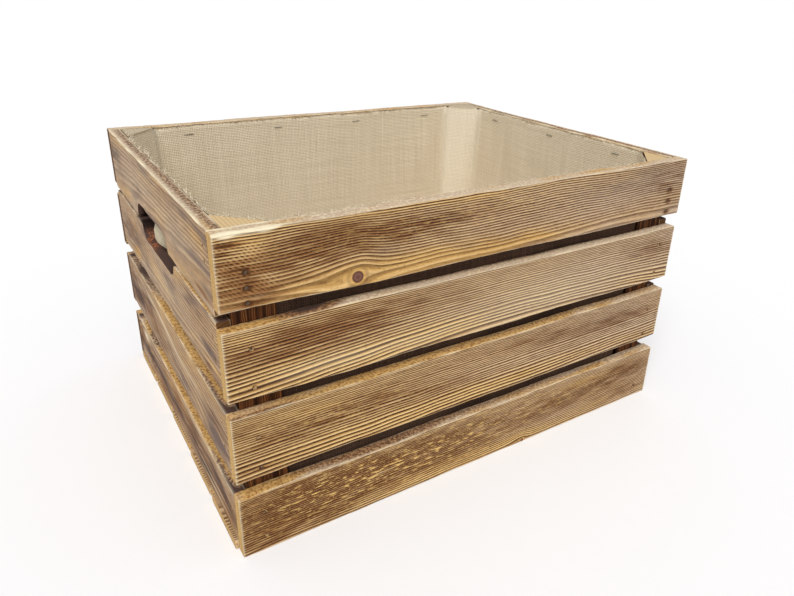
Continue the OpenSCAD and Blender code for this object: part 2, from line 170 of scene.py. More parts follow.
BOARDS = {
    "front_slat_1": dict(
        pith=27, below=5, ring=1.9, taper=0.01, sway=1.0, seed=11, knots=[(-134.8, 6.9, 4.6, 1)], soft=0.35,
        hatch=58, wane=1.9, rim=(0.2, 0.35), pale=(0.05, 0.85), stain=2.6,
        top=[(-190, 9, 90, 5, 0.3), (120, 9, 160, 5, 0.3)],
        gold=[(-140, 5, 60, 13, 0.9), (-50, 7, 80, 10, 0.8), (60, 6, 110, 9, 0.55), (-217, 46, 18, 12, 0.5),
              (170, 9, 60, 7, 0.3), (-60, 55, 170, 3.5, 0.55)],
        slate=[(-112, 24, 12, 5, 0.4), (150, 40, 90, 12, 0.3), (60, 34, 60, 12, 0.2), (190, 50, 44, 8, 0.5),
               (-212, 9, 12, 3, 0.4), (-60, 38, 60, 9, 0.25)],
        flecks=[(-110, 38, 90, 12, 0.35), (60, 44, 160, 14, 0.3)],
        burn=[(-158, 44, 36, 10, 0.75), (-95, 42, 45, 10, 0.6), (-120, 34, 80, 8, 0.4),
              (-233, 49, 9, 1.5, 2.2), (-236, 44, 7, 1.4, 2.0), (-170, 28, 40, 6, 0.5),
              (-215, 14, 26, 5, 0.8), (-215, 5, 24, 4, 0.6), (-225, 26, 20, 8, 0.5),
              (-215, 30, 45, 40, 0.2), (60, 14, 240, 12, 0.15), (-226, 36, 14, 1.3, 1.7),
              (-222, 31, 18, 1.2, 1.5), (-228, 20, 12, 1.2, 1.5), (-10, 42, 60, 7, 0.25),
              (212, 38, 42, 22, 0.55), (-20, 26, 70, 4, 0.3)]),
    "front_slat_2": dict(
        pith=37, below=34, ring=3.1, crowd=5, sway=0.9, seed=12, bow=(40, 190, 20), soft=-0.1,
        pale=(0.0, 0.75), top=[(-218, 6, 34, 20, 1.0)],
        dusk=[(-172, 8, 24, 9, 1.5), (60, 12.5, 260, 4, 0.8)],
        gold=[(-150, 6, 100, 11, 0.9), (-60, 14, 60, 9, 0.6), (-200, 20, 40, 8, 0.5), (200, 7, 45, 9, 0.7),
              (100, 4, 60, 5, 0.3), (-225, 50, 18, 5, 0.6)], flecks=[(60, 30, 120, 20, 0.2)],
        rubbed=[(60, 18, 130, 20, 0.17), (40, 48, 90, 8, 0.07), (-160, 12, 45, 7, 0.12),
                (-75, 9, 50, 6, 0.08)],
        burn=[(-170, 42, 60, 10, 0.8), (-90, 40, 60, 12, 0.45), (-175, 27, 50, 6, 0.5),
              (-35, 34, 40, 9, 0.2), (205, 38, 45, 12, 0.55), (-215, 30, 45, 40, 0.15),
              (-215, 8, 25, 3, 0.35)]),
    "front_slat_3": dict(
        pith=39, below=22, ring=2.3, crowd=5, taper=0.01, sway=0.5, seed=13, soft=-0.1, pale=(0.0, 0.65),
        top=[(-110, 5, 150, 30, 1.0), (130, 5, 130, 30, 0.6)],
        dusk=[(60, 9, 300, 7, 0.45), (-215, 1.5, 30, 2, 1.3)],
        gold=[(-150, 10, 90, 9, 0.8), (-40, 8, 80, 8, 0.75), (-180, 47, 40, 6, 0.7), (80, 9, 90, 9, 0.5),
              (-140, 28, 8, 2, 0.8), (200, 8, 50, 6, 0.3)], slate=[(110, 40, 80, 10, 0.4)],
        flecks=[(-150, 34, 90, 14, 0.5)],
        burn=[(-190, 30, 40, 8, 0.6), (-125, 37, 45, 9, 0.75), (-60, 28, 60, 8, 0.45),
              (-210, 8, 30, 4, 0.5), (-215, 30, 45, 40, 0.15), (90, 42, 60, 8, 0.5), (190, 36, 55, 11, 0.6),
              (20, 46, 60, 6, 0.3), (-230, 44, 14, 6, 0.4)]),
    "front_slat_4": dict(
        pith=54, below=31, ring=1.55, sway=0.6, seed=14, knots=[(53, 2.0, 1.8, 1)], pale=(0.05, 0.5),
        top=[(-212, 6, 26, 20, 1.3), (110, 4, 120, 5, 0.7)],
        dusk=[(-110, 7, 70, 9, 0.7), (60, 9, 300, 6, 0.55)],
        gold=[(-70, 9, 70, 8, 0.6), (30, 7, 90, 7, 0.75), (-205, 20, 12, 6, 0.3), (130, 46, 60, 6, 0.5),
              (160, 8, 60, 6, 0.4)], slate=[(120, 36, 80, 9, 0.35), (-20, 50, 40, 4, 0.3)],
        flecks=[(-160, 36, 90, 26, 1.0), (-40, 34, 90, 24, 0.8), (110, 40, 120, 18, 0.45)],
        burn=[(-160, 44, 100, 14, 1.0), (-200, 20, 60, 16, 0.75), (-90, 22, 70, 14, 0.7),
              (-200, 30, 60, 40, 0.3), (0, 42, 80, 10, 0.6), (20, 22, 90, 12, 0.45),
              (150, 34, 90, 14, 0.65), (-225, 6, 25, 5, 0.4), (205, 45, 40, 8, 0.5),
              (200, 12, 50, 10, 0.4)]),
    "left_board_1": dict(
        pith=34, below=-10, ring=3.2, taper=0.03, sway=0.9, seed=21, rim=(0.15, 0.75), pale=(0.8, 0.5),
        ends=(0.5, 0.8), slot_shift=-11, end_painted_shade=0, top=[], dusk=[(0, 7.5, 400, 4.5, 0.9)],
        gold=[(-110, 11, 24, 8, 0.8, 0.12), (155, 50, 26, 10, 0.45), (155, 15, 26, 7, 0.35),
              (-20, 60, 200, 3, 0.3)],
        slate=[(-160, 44, 50, 15, 0.9), (150, 29, 32, 4, 0.8), (-40, 34, 70, 8, 0.2),
               (-20, 56, 50, 4, 0.35), (80, 32, 50, 8, 0.3), (30, 20, 25, 4, 0.3)],
        rubbed=[(-20, 30, 150, 30, 0.12)],
        burn=[(150, 8, 24, 2.2, 1.0, -0.05), (-140, 34, 60, 26, 0.35), (40, 54, 90, 1.2, 0.5),
              (40, 44, 90, 1.2, 0.45), (20, 38.5, 90, 1.2, 0.4), (60, 58, 80, 1.2, 0.4)]),
    "left_board_2": dict(
        pith=36, below=6, ring=2.6, taper=0.02, sway=0.8, seed=22, pale=(0.75, 0.5), tilt=(0, 1.6),
        ends=(0.5, 0.9), slot_shift=4, top=[(128, 5, 45, 20, 1.0), (-36, 6, 28, 9, 1.1)],
        dusk=[(-125, 5, 55, 20, 1.3), (-68, 9, 14, 30, 1.6), (52, 9, 26, 30, 0.62)],
        gold=[(-107, 9, 15, 8, 1.6, 0.15), (158, 12, 22, 4, 0.8), (60, 52, 60, 5, 0.3),
              (-30, 20, 60, 8, 0.3), (-160, 20, 20, 4, 0.5)],
        slate=[(155, 23, 28, 5, 1.2), (-120, 34, 60, 9, 0.7), (-150, 8, 30, 7, 0.6), (30, 24, 40, 5, 0.3),
               (-20, 12, 40, 4, 0.25)], rubbed=[(10, 20, 60, 20, 0.14)],
        burn=[(150, 5, 34, 3.4, 0.9, -0.06), (-182, 6, 10, 10, 0.8), (110, 50, 50, 1.0, 0.6),
              (-120, 24, 70, 22, 0.45), (120, 45.5, 50, 1.0, 0.6), (110, 41, 50, 1.0, 0.5),
              (120, 35, 60, 1.3, 0.5)]),
    "left_board_3": dict(
        pith=44, below=8, ring=3.2, taper=-0.06, sway=1.4, seed=23, pale=(0.75, 0.5), tilt=(1.2, 2.0),
        ends=(0.5, 0.9), top=[(60, 5, 130, 30, 1.2)],
        dusk=[(-115, 6, 50, 30, 1.45), (150, 1.5, 50, 2.5, 1.4), (40, 7, 90, 1.2, 0.4)],
        gold=[(100, 50, 90, 7, 0.5), (-75, 45, 40, 2.5, 0.7, -0.18), (-10, 32, 40, 2.5, 0.6, -0.15),
              (60, 40, 60, 4, 0.4), (-60, 52, 60, 6, 0.4)],
        slate=[(150, 12, 34, 8, 1.3), (-150, 26, 45, 12, 1.2), (-20, 16, 70, 6, 0.7), (60, 16, 60, 6, 0.3)],
        rubbed=[(-60, 46, 50, 2.4, 0.4, -0.1), (-5, 38, 40, 2.4, 0.4, -0.16), (60, 32, 60, 2.4, 0.3)],
        burn=[(145, 34, 36, 2.4, 0.8), (150, 27, 30, 4, 0.7), (-150, 14, 22, 8, 0.7),
              (-110, 30, 90, 34, 0.6), (0, 14, 90, 10, 0.35), (40, 33, 60, 1.4, 0.35),
              (-165, 40, 20, 8, 0.3)]),
    "left_board_4": dict(
        pith=22, below=-14, ring=3.0, taper=0.1, sway=1.5, seed=24, knots=[(-132, 32, 6.0, 0)],
        bow=(118, 44, 26), pale=(0.65, 0.5), tilt=(0, 1.8), ends=(0.5, 0.9), top=[(20, 5, 200, 30, 1.3)],
        dusk=[(-104, 8, 22, 8, 1.4), (150, 1.5, 40, 2.5, 1.4)],
        gold=[(-132, 34, 12, 5, 0.7), (-95, 1, 50, 7, 0.9), (20, 40, 60, 5, 0.5), (95, -4, 24, 6, 0.6),
              (-20, 40, 60, 5, 0.4)],
        slate=[(-140, 20, 60, 6, 1.3), (-20, 21, 80, 6, 1.1), (130, 25, 45, 6, 1.0), (40, 12, 50, 6, 0.4),
               (112, 4, 40, 1.5, 0.9), (112, 11, 46, 1.5, 0.7)],
        rubbed=[(-134, 39, 14, 5, 0.7), (112, 8, 40, 2, 0.35), (110, 16, 46, 1.6, 0.3),
                (70, 44, 60, 2, 0.3)],
        burn=[(70, 32, 60, 1.6, 0.8), (-178, 24, 12, 24, 0.7), (100, 6, 20, 7, 0.4), (0, 22, 260, 26, 0.75),
              (-60, 10, 40, 6, 0.3), (165, 10, 20, 14, 0.6), (60, 20, 30, 3, 0.4)]),
}


def other_side(name, seed, along=1.0):
    """Another board of the same kind, seen turned round: its patches move and its seed changes."""
    board = {**PLAIN_BOARD, **BOARDS[name]}
    for key in ("burn", "gold", "slate", "top", "dusk", "flecks"):
        board[key] = [(-s * along, *rest) for s, *rest in board[key]]
    board["knots"] = [(-s * 0.7, *rest) for s, *rest in board["knots"]]
    start, end = board["pale"]
    board.update(seed=seed, hatch=0, tilt=(0, 0), wane=0, slot_shift=0,
                 pale=(end * 0.6, start * 0.6 + 0.15))
    return board


for row in (1, 2, 3, 4):
    BOARDS[f"rear_slat_{row}"] = {**other_side(f"front_slat_{row}", 30 + row), "ends": (0.4, 0.9)}
    BOARDS[f"right_board_{row}"] = {**other_side(f"left_board_{row}", 40 + row, 0.8), "ends": (0.9, 0.7)}
for row in (1, 2, 3, 4, 5):
    BOARDS[f"floor_board_{row}"] = dict(
        pith=30 + 6 * row, below=-20 + 11 * row, ring=2.6, taper=0.03, sway=1.6, seed=50 + row,
        burn=[(-120 + 50 * row, 30, 120, 16, 0.3)], slate=[(100 - 40 * row, 40, 90, 14, 0.4)],
        pale=(0.35, 0.4))


# ---- fields worked out with numpy


def waves(u, v, size_u, size_v, seed, count=14):
    """Sum of seeded sine waves, each about size_u long in u and size_v in v, with a spread of 1."""
    rng = np.random.default_rng(seed)
    turn, start = rng.uniform(0, 2 * np.pi, (2, count))
    pace = 2 * np.pi * rng.uniform(0.45, 1.0, count)
    total = sum(
        np.sin(p * (np.cos(t) * u / size_u + np.sin(t) * v / size_v) + b)
        for p, t, b in zip(pace, turn, start)
    )
    return total * math.sqrt(2 / count)


def ripple(s, size, seed):
    """Seeded waves along one direction only."""
    return waves(s, 0 * s, size, 1, seed)


def ease(x, low, high):
    """0 below low and 1 above high, with the smooth step 3t^2 - 2t^3 between them."""
    t = np.clip((x - low) / (high - low), 0, 1)
    return t * t * (3 - 2 * t)


def patches(s, h, spots):
    """Sum of round-topped bumps exp(-(ds/a)^2 - (dh/b)^2), each times its own strength.

    A sixth number slants a bump: its middle rises by that much for each millimetre along s.
    """
    total = np.zeros(np.broadcast(s, h).shape)
    for s0, h0, a, b, strength, *slant in spots:
        middle = h0 + (slant[0] if slant else 0) * (s - s0)
        total = total + strength * np.exp(-(((s - s0) / a) ** 2) - ((h - middle) / b) ** 2)
    return total


def ring_place(board, s, h, d):
    """Distance of the pith behind a point and height of the point over the pith.

    The distance is changed by the taper, the sway and the depth. A knot pushes the height away
    from its own by push * exp(-(ds/reach)^2) * tanh(dh/w) * exp(-(dh/4w)^2), so that the lines
    flow round it.
    """
    seed = board["seed"]
    up = h + board["sway"] * waves(s, h, 130, 60, seed)
    up = up + 0.25 * board["sway"] * waves(s, h, 38, 22, seed + 100)
    for s0, h0, radius, _ in board["knots"]:
        away = h - h0
        reach = radius * np.where(s < s0, 10.0, 4.2)
        push = 2.0 * radius * np.exp(-(((s - s0) / reach) ** 2))
        up = up - push * np.tanh(away / (2 * radius)) * np.exp(-((away / (8 * radius)) ** 2))
    middle, reach, rise = board["bow"]
    up = up - rise * np.exp(-(((s - middle) / reach) ** 2)) * np.clip(1 - h / 60, 0, 1)
    across = board["pith"] - board["taper"] * s - 0.8 * d
    across = across + 0.5 * board["sway"] * ripple(s, 170, seed + 200)
    return across, up + board["below"]


def ring_count(board, s, h, d):
    """Growth rings between the pith and a point: sqrt(across^2 + up^2) over the ring width,
    with some rings wider than others and crowd * (h / 60)^4 more of them."""
    across, up = ring_place(board, s, h, d)
    count = np.sqrt(across**2 + up**2) / board["ring"] + board["crowd"] * (h / 60) ** 4
    return count + 0.13 * ripple(count, 3.4, board["seed"] + 300)


def crispness(board, s, h, d):
    """How steeply the rings meet the face, from 0 to 1: |up| / sqrt(across^2 + up^2), eased.
    Rings that graze the face are wide and soft."""
    across, up = ring_place(board, s, h, d)
    steep = ease(np.abs(up) / np.sqrt(across**2 + up**2), -0.15, 0.55)
    return steep * (1 - board["soft"] * (1 - ease(h, 10, 34)))


def groove_share(count):
    """Depth of the brushed groove inside a ring, from 0 on the hard line to 1 just below it."""
    t = count - np.floor(count)
    return ease(t, 0.12, 0.5) * 0.45 + ease(t, 0.45, 0.8) * 0.55 - ease(t, 0.9, 1.0)


def section(height_rows, back_every, depth_rows, thick):
    """Closed outline of a board's cross-section: up the outer face, over the top, down the
    inner face and back along the bottom, with the four edges rounded off.

    Columns: share of the height, height offset, depth, and the inward direction in h and d.
    """
    e, c = EDGE_WEAR, 0.3 * EDGE_WEAR
    up = np.linspace(0, 1, height_rows)
    back = up[::-back_every]
    across = np.linspace(e, thick - e, depth_rows)

    def run(*columns):
        return np.stack(np.broadcast_arrays(*columns), 1)

    k = math.sqrt(0.5)
    return np.concatenate([
        run(up, e * (1 - 2 * up), 0, 0, 1), [[1, -c, c, -k, k]],
        run(1, 0, across, -1, 0), [[1, -c, thick - c, -k, -k]],
        run(back, e * (1 - 2 * back), thick, 0, -1), [[0, c, thick - c, k, -k]],
        run(0, 0, across[::-1], 1, 0), [[0, c, c, k, k]],
    ])


def stations(half, step, close):
    """Places along a board: every step, and closer together about each (place, reach, step)."""
    e = EDGE_WEAR
    ends = np.array([0, 0.25 * e, e, 1.6 * e, 2.4 * e, 3.8 * e])
    places = [np.linspace(-half + 4 * e, half - 4 * e, int(2 * half / step)), -half + ends,
              half - ends]
    places += [np.arange(p - reach, p + reach + 0.01, fine) for p, reach, fine in close]
    every = np.unique(np.round(np.concatenate(places), 3))
    every = every[(every >= -half) & (every <= half)]
    keep = np.concatenate([[True], np.diff(every) > 0.12])
    keep[-1] = True
    return every[keep]


def round_quads(index):
    """Quads of a grid of point numbers that closes on itself round its first axis."""
    after = np.roll(index, -1, axis=0)
    return np.stack([index[:, :-1], index[:, 1:], after[:, 1:], after[:, :-1]], -1).reshape(-1, 4)


def write_mesh(name, points, faces, values, uvs, uv_name, smooth_below=50):
    """A new object at the origin from points in millimetres, with point attributes and one UV map.

    values maps an attribute's name to an array of one or three columns. uvs holds a pair for
    each point, or for each face corner in the order of the faces.
    """
    mesh = bpy.data.meshes.new(name)
    mesh.from_pydata((points * MM).tolist(), [], faces)
    for key, column in values.items():
        column = np.asarray(column, np.float32)
        kind, field = ("FLOAT", "value") if column.ndim == 1 else ("FLOAT_VECTOR", "vector")
        mesh.attributes.new(key, kind, "POINT").data.foreach_set(field, column.ravel())
    corner = np.zeros(len(mesh.loops), np.int32)
    mesh.loops.foreach_get("vertex_index", corner)
    per_corner = uvs if len(uvs) == len(corner) and len(uvs) != len(points) else uvs[corner]
    layer = mesh.uv_layers.new(name=uv_name)
    layer.data.foreach_set("uv", np.asarray(per_corner, np.float32).ravel())
    mesh.shade_smooth()
    mesh.set_sharp_from_angle(angle=math.radians(smooth_below))
    mesh.update()
    made = bpy.data.objects.new(name, mesh)
    bpy.context.scene.collection.objects.link(made)
    return made


def dress(made, nodes, surface):
    """Gives a piece its material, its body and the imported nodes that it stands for."""
    if not made.data.materials:
        made.data.materials.append(surface)
    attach(made, "root")
    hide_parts(*nodes)
    return made


def craters(s, h, nails):
    """Depth of the wood round the nails: 1 mm under a head, rising to the face at its rim."""
    depth = np.zeros(np.broadcast(s, h).shape)
    for s0, h0 in nails:
        reach = np.hypot(s - s0, h - h0)
        depth = np.maximum(depth, 1.0 - ease(reach, NAIL_HEAD / 2, NAIL_HEAD / 2 + 0.9))
    return depth


def board_edges(board, wall, s, half, low, high, slotted):
    """Lower and upper edge of a board along it: its height, its tilt and a slow wave of under a
    millimetre, kept inside the box, and the round-ended outline of the hand slot where it cuts:
    slot middle plus or minus sqrt(r^2 - (how far s is past the straight part)^2)."""
    if wall == "underside":
        return low + 0 * s, high + 0 * s
    seed, (rise_low, rise_up) = board["seed"], board["tilt"]
    lower = low - rise_low * s / half + 0.4 * ripple(s, 120, seed + 11)
    upper = high - rise_up * s / half + 0.4 * ripple(s, 110, seed + 12)
    lower = np.maximum(lower, low if low < 10 else 0)
    upper = np.minimum(upper, BOX_TOP)
    if slotted:
        radius = HAND_SLOT_HEIGHT / 2
        past = np.maximum(np.abs(s - board["slot_shift"]) - (HAND_SLOT_LENGTH / 2 - radius), 0)
        cut = np.sqrt(np.maximum(radius**2 - past**2, 0))
        inside = past < radius
        if slotted < 0:
            lower = np.where(inside, np.maximum(lower, HAND_SLOT_Z + cut), lower)
        else:
            upper = np.where(inside, np.minimum(upper, HAND_SLOT_Z - cut), upper)
    return lower, upper


def hatch_marks(board, s, h, half, tall):
    """Share of the cross-hatched saw marks at the board's start: sin of the sloping distance
    s + h, faded along the board and towards both long edges."""
    size, seed = board["hatch"], board["seed"]
    faded = 1 - ease(s + half + 0.3 * h, size * 0.6, size)
    turn = 2 * np.pi * (s + h) / 3.6 + 0.9 * waves(s, h, 16, 12, seed + 15)
    marks = faded * ease(np.sin(turn), -0.3, 0.9)
    marks = marks * np.clip(0.75 + 0.4 * waves(s, h, 18, 9, seed + 16), 0.1, 1)
    return marks * ease(h, 6, 14) * ease(tall - h, 5, 12)


def cap_faces(ring, own, rows, outward):
    """Faces of a board's flat end: quads over a lattice of its own points and the section's, and
    strips that join the lattice to the inner face, whose rows are farther apart."""
    lattice = np.zeros((rows + 2, DEPTH_ROWS + 1), int)
    lattice[0] = ring[::-1][: DEPTH_ROWS + 1]
    lattice[1:-1, 0], lattice[1:-1, 1:] = ring[:rows], own
    lattice[-1] = ring[rows : rows + DEPTH_ROWS + 1]
    corners = lattice[:-1, :-1], lattice[1:, :-1], lattice[1:, 1:], lattice[:-1, 1:]
    quads = np.stack(corners, -1).reshape(-1, 4)[:, ::outward]
    last, first = lattice[:, -1], rows + DEPTH_ROWS + 2
    inner = ring[first : first + (rows - 1) // BACK_EVERY + 1][::-1]
    strips = [[*last[1 + k * BACK_EVERY : 2 + (k + 1) * BACK_EVERY], inner[k + 1], inner[k]]
              for k in range(len(inner) - 1)]
    strips += [[last[0], last[1], inner[0], ring[first + len(inner)]],
               [last[-2], last[-1], ring[first - 1], inner[-1]]]
    return quads, [[int(x) for x in strip][::outward] for strip in strips]


def plank(name, wall, half, low, high, thick, relief, nails=(), close=(), slotted=0):
    """A board as one closed mesh: its cross-section carried along its stations, with flat ends.

    Point = wall + s*S + h*H + d*D. Each point of the section is moved inwards by the relief:
    the groove depth of its growth ring, the craters of the nails and the wear of the edges.
    slotted is -1 where the hand slot is in the lower edge and 1 where it is in the upper one.
    """
    board, props = {**PLAIN_BOARD, **BOARDS[name]}, bpy.context.scene.kindling_wood
    row_steps = (high - low - 2 * EDGE_WEAR) / (props.row_step / MM)
    rows = BACK_EVERY * max(4, round(row_steps / BACK_EVERY)) + 1
    outline = section(rows, BACK_EVERY, DEPTH_ROWS, thick)
    close = list(close) + [(s0, NAIL_HEAD, 0.45) for s0, _ in nails]
    close += [(s0, 2.2 * r, 1.0) for s0, _, r, _ in board["knots"]]
    if board["hatch"]:
        close += [(-half + board["hatch"] / 2, board["hatch"] / 2, 0.9)]
    along = stations(half, props.run_step / MM, close)
    share, offset, depth, into_h, into_d = (column[:, None] for column in outline.T)
    s, seed = along[None, :], board["seed"]
    lower, upper = board_edges(board, wall, s, half, low, high, slotted)
    h = lower + share * (upper - lower) + offset
    h_own = h - low
    count = ring_count(board, s, h_own, depth + 0 * s)

    on_outer = (np.arange(len(outline)) < rows)[:, None]
    flat_edge = (np.abs(into_h) > 0.9) + 0 * s > 0
    corner = (np.abs(into_h) > 0.5) & (np.abs(into_h) < 0.9)
    move = relief * (groove_share(count) * (0.75 + 0.25 * waves(s, h_own, 40, 5, seed + 4)))
    for s0, h0, radius, shows in board["knots"]:
        distance = np.hypot(s - s0, h_own - h0)
        move = move * ease(distance, radius, 2.4 * radius)
        if shows:
            move = move + 0.25 * np.exp(-(((distance - radius) / 0.8) ** 2)) * on_outer
    hatched = np.zeros_like(h)
    if board["hatch"]:
        hatched = hatch_marks(board, s, h_own, half, high - low) * on_outer
        move = move * (1 - 0.7 * hatched)
    rough = waves(s, h_own + 3 * depth, 9, 1.6, seed + 3, 20)
    move = np.where(flat_edge, 0.12 + 0.10 * rough, np.where(on_outer, move, 0.4 * move))
    worn_off = 0
    for to_edge, size, edge_seed in ((h - lower, 23, seed + 1), (upper - h, 19, seed + 2)):
        wear = np.clip(0.25 + 0.4 * ripple(s, size, edge_seed), 0, 1.2) * (props.edge_wear / MM)
        worn_off = worn_off + wear * np.exp(-((to_edge / 1.1) ** 2))
    move = np.clip(move + 0.6 * worn_off * (on_outer | corner), 0, None)
    move = np.where(on_outer, np.maximum(move, craters(s, h, nails)), move)
    end = np.minimum(s + half, half - s)
    move = move + EDGE_WEAR * (0.7 * (end < 0.01) + 0.25 * ((end > 0.01) & (end < 0.3 * EDGE_WEAR)))

    # The end faces: each has a lattice of the outer rows by the depth rows, inside the section.
    loop, length = h.shape
    inside_d = np.linspace(EDGE_WEAR, thick - EDGE_WEAR, DEPTH_ROWS)[None, :]
    caps = []
    for i, sign in ((0, 1), (length - 1, -1)):
        rows_h = h[:rows, i][:, None] + 0 * inside_d
        rows_d = inside_d + 0 * rows_h
        end_rings = ring_count(board, along[i] + 0 * rows_h, rows_h - low, rows_d)
        caps.append((along[i] + sign * 0.25 * groove_share(end_rings), rows_h, rows_d))

    def with_caps(body, column):
        return np.concatenate([np.broadcast_to(body, h.shape).ravel()]
                              + [cap[column].ravel() for cap in caps])

    s_all, h_rest, d_rest = with_caps(s, 0), with_caps(h, 1), with_caps(depth, 2)
    h_all, d_all = with_caps(h + move * into_h, 1), with_caps(depth + move * into_d, 2)
    origin, along_dir, up_dir, in_dir = (np.array(v, float) for v in WALLS[wall])
    points = origin + s_all[:, None] * along_dir + h_all[:, None] * up_dir + d_all[:, None] * in_dir

    index = np.arange(loop * length).reshape(loop, length)
    quads, strips, start = [round_quads(index)], [], loop * length
    for i, outward in ((0, 1), (length - 1, -1)):
        own = start + np.arange(rows * DEPTH_ROWS).reshape(rows, DEPTH_ROWS)
        start += own.size
        cap_quads, cap_strips = cap_faces(index[:, i], own, rows, outward)
        quads.append(cap_quads)
        strips += cap_strips
    faces = np.concatenate(quads).tolist() + strips

    on_cap = np.arange(start) >= loop * length
    no_cap = np.zeros(start - loop * length)
    sawn = np.concatenate([(flat_edge + 0.5 * (corner & ~on_outer)).ravel(), no_cap])
    hatch = np.concatenate([hatched.ravel(), no_cap])
    to_edge = np.minimum(np.interp(s_all, along, upper.ravel()) - h_rest,
                         h_rest - np.interp(s_all, along, lower.ravel()))
    h_up = h_rest - low
    values = wood_values(board, wall, half, high - low, thick, s_all, h_up, d_rest, to_edge, sawn,
                         1.0 * on_cap, hatch, slotted, [(s0, h0 - low) for s0, h0 in nails])
    _, flow = ring_place(board, s_all, h_up, d_rest)
    uvs = np.stack([s_all * MM + 0.731 * seed, (flow + 1.7 * d_rest) * MM], -1)
    return write_mesh(name + "_wood", points, faces, values, uvs, "grain")


def wood_values(board, wall, half, tall, thick, s, h, d, to_edge, sawn, cap, hatch, slotted, nails):
    """What the shader reads at each point: the growth ring, the tones, hues, cuts and the knot.

    Tones and hues are the board's own patches with seeded waves over them. Worn wood is
    exp(-(distance to the nearest long edge / width)^2), and the same at the front's ends.
    """
    seed = board["seed"]
    burn = patches(s, h, board["burn"]) * (1 + 0.25 * waves(s, h, 30, 5, seed + 5))
    burn = burn + 0.08 * waves(s, h, 90, 22, seed + 6)
    stains = [(s0 + 0.6, h0 - 0.3, 3.0, 1.9, board["stain"]) for s0, h0 in nails]
    burn = burn + patches(s, h, stains) * (d < 1)
    gold = patches(s, h, board["gold"]) * (1 + 0.2 * waves(s, h, 40, 8, seed + 7))
    slate = patches(s, h, board["slate"]) * (1 + 0.2 * waves(s, h, 40, 9, seed + 13))
    on_flat = sawn > 0.4
    gold = np.where(on_flat, patches(s, d, board["top"]) + 0.15 * waves(s, d, 50, 12, seed + 14), gold)
    near_end = np.minimum(s + half, half - s)
    # Painted shade: an end board's upper and lower edges are darkened near its ends, where they meet the
    # slats.
    end_painted_shade = board["end_painted_shade"] * np.exp(-((near_end / 12) ** 2)) * (wall in ("left", "right"))
    # The dusk patches darken the upper and lower edges: scorch, and painted shade at the rear of the slats'
    # upper edges and in the hand slots.
    slate = np.where(on_flat, patches(s, d, board["dusk"]) + end_painted_shade, slate)
    burn = np.where(on_flat, 0, burn)
    burn = np.where(cap > 0, np.where(s < 0, *board["ends"]), burn)
    pale = board["pale"][0] + (board["pale"][1] - board["pale"][0]) * ease(s, -half, half)
    pale = pale * (1 + 0.15 * waves(s, h, 120, 25, seed + 8)) - 0.5 * gold * (sawn < 0.4)
    to_face = np.minimum(d, thick - d)
    wane = board["wane"] * np.exp(-(((s + half) / 50) ** 4)) * (1 + 0.3 * ripple(s, 12, seed + 10))
    weight = np.where(h > tall / 2, board["rim"][1] + wane, board["rim"][0])
    rim = weight * np.exp(-((np.hypot(np.clip(to_edge, 0, None), to_face) / (0.5 + 0.8 * weight)) ** 2))
    rim = rim * (1 + 0.4 * ripple(s, 25, seed + 9)) * (1 - cap)
    rim = rim + patches(s, h, board["rubbed"]) * (d < 1.2) * (1 - cap)
    ends = 0.45 * np.exp(-((near_end / 1.2) ** 2) - (d / 0.8) ** 2) * (wall == "front")
    charred = 0 * s
    if slotted:
        past = np.abs(s - board["slot_shift"]) - HAND_SLOT_LENGTH / 2
        in_slot = 1 - ease(past, 0.5, np.where(s < 0, 22, 4))
        in_slot = in_slot * ((h > tall / 2) == (slotted > 0))
        charred, rim = in_slot * on_flat, rim * (1 - in_slot)
    reach = np.full(len(s), 9.0)
    for s0, h0, radius, shows in board["knots"]:
        if shows:
            reach = np.minimum(reach, np.hypot(s - s0, h - h0) / radius)
    return {
        "ring": ring_count(board, s, h, d),
        "tone": np.stack([np.clip(burn, 0, 3), np.clip(pale, 0, 1), np.clip(rim + ends, 0, 1)], -1),
        "hue": np.stack([np.clip(gold, 0, 1.2), np.clip(slate, 0, 2), hatch], -1),
        "cut": np.stack([sawn, cap, charred], -1),
        "knot": np.stack([reach, crispness(board, s, h, d), patches(s, h, board["flecks"])], -1),
    }


# ---- materials


def linear(colour):
    """A colour as it is seen on screen, as Blender's linear colour with alpha 1."""
    c = np.array(colour[:3], float)
    c = np.where(c <= 0.04045, c / 12.92, ((c + 0.055) / 1.055) ** 2.4)
    return (*c.tolist(), 1.0)


def inks(group):
    """The colours of one of the scene's property groups, as linear colours under their names."""
    group = getattr(bpy.context.scene, group)
    values = {key: getattr(group, key) for key in group.bl_rna.properties.keys()}
    return SimpleNamespace(**{key: linear(v) for key, v in values.items() if isinstance(v, Color)})


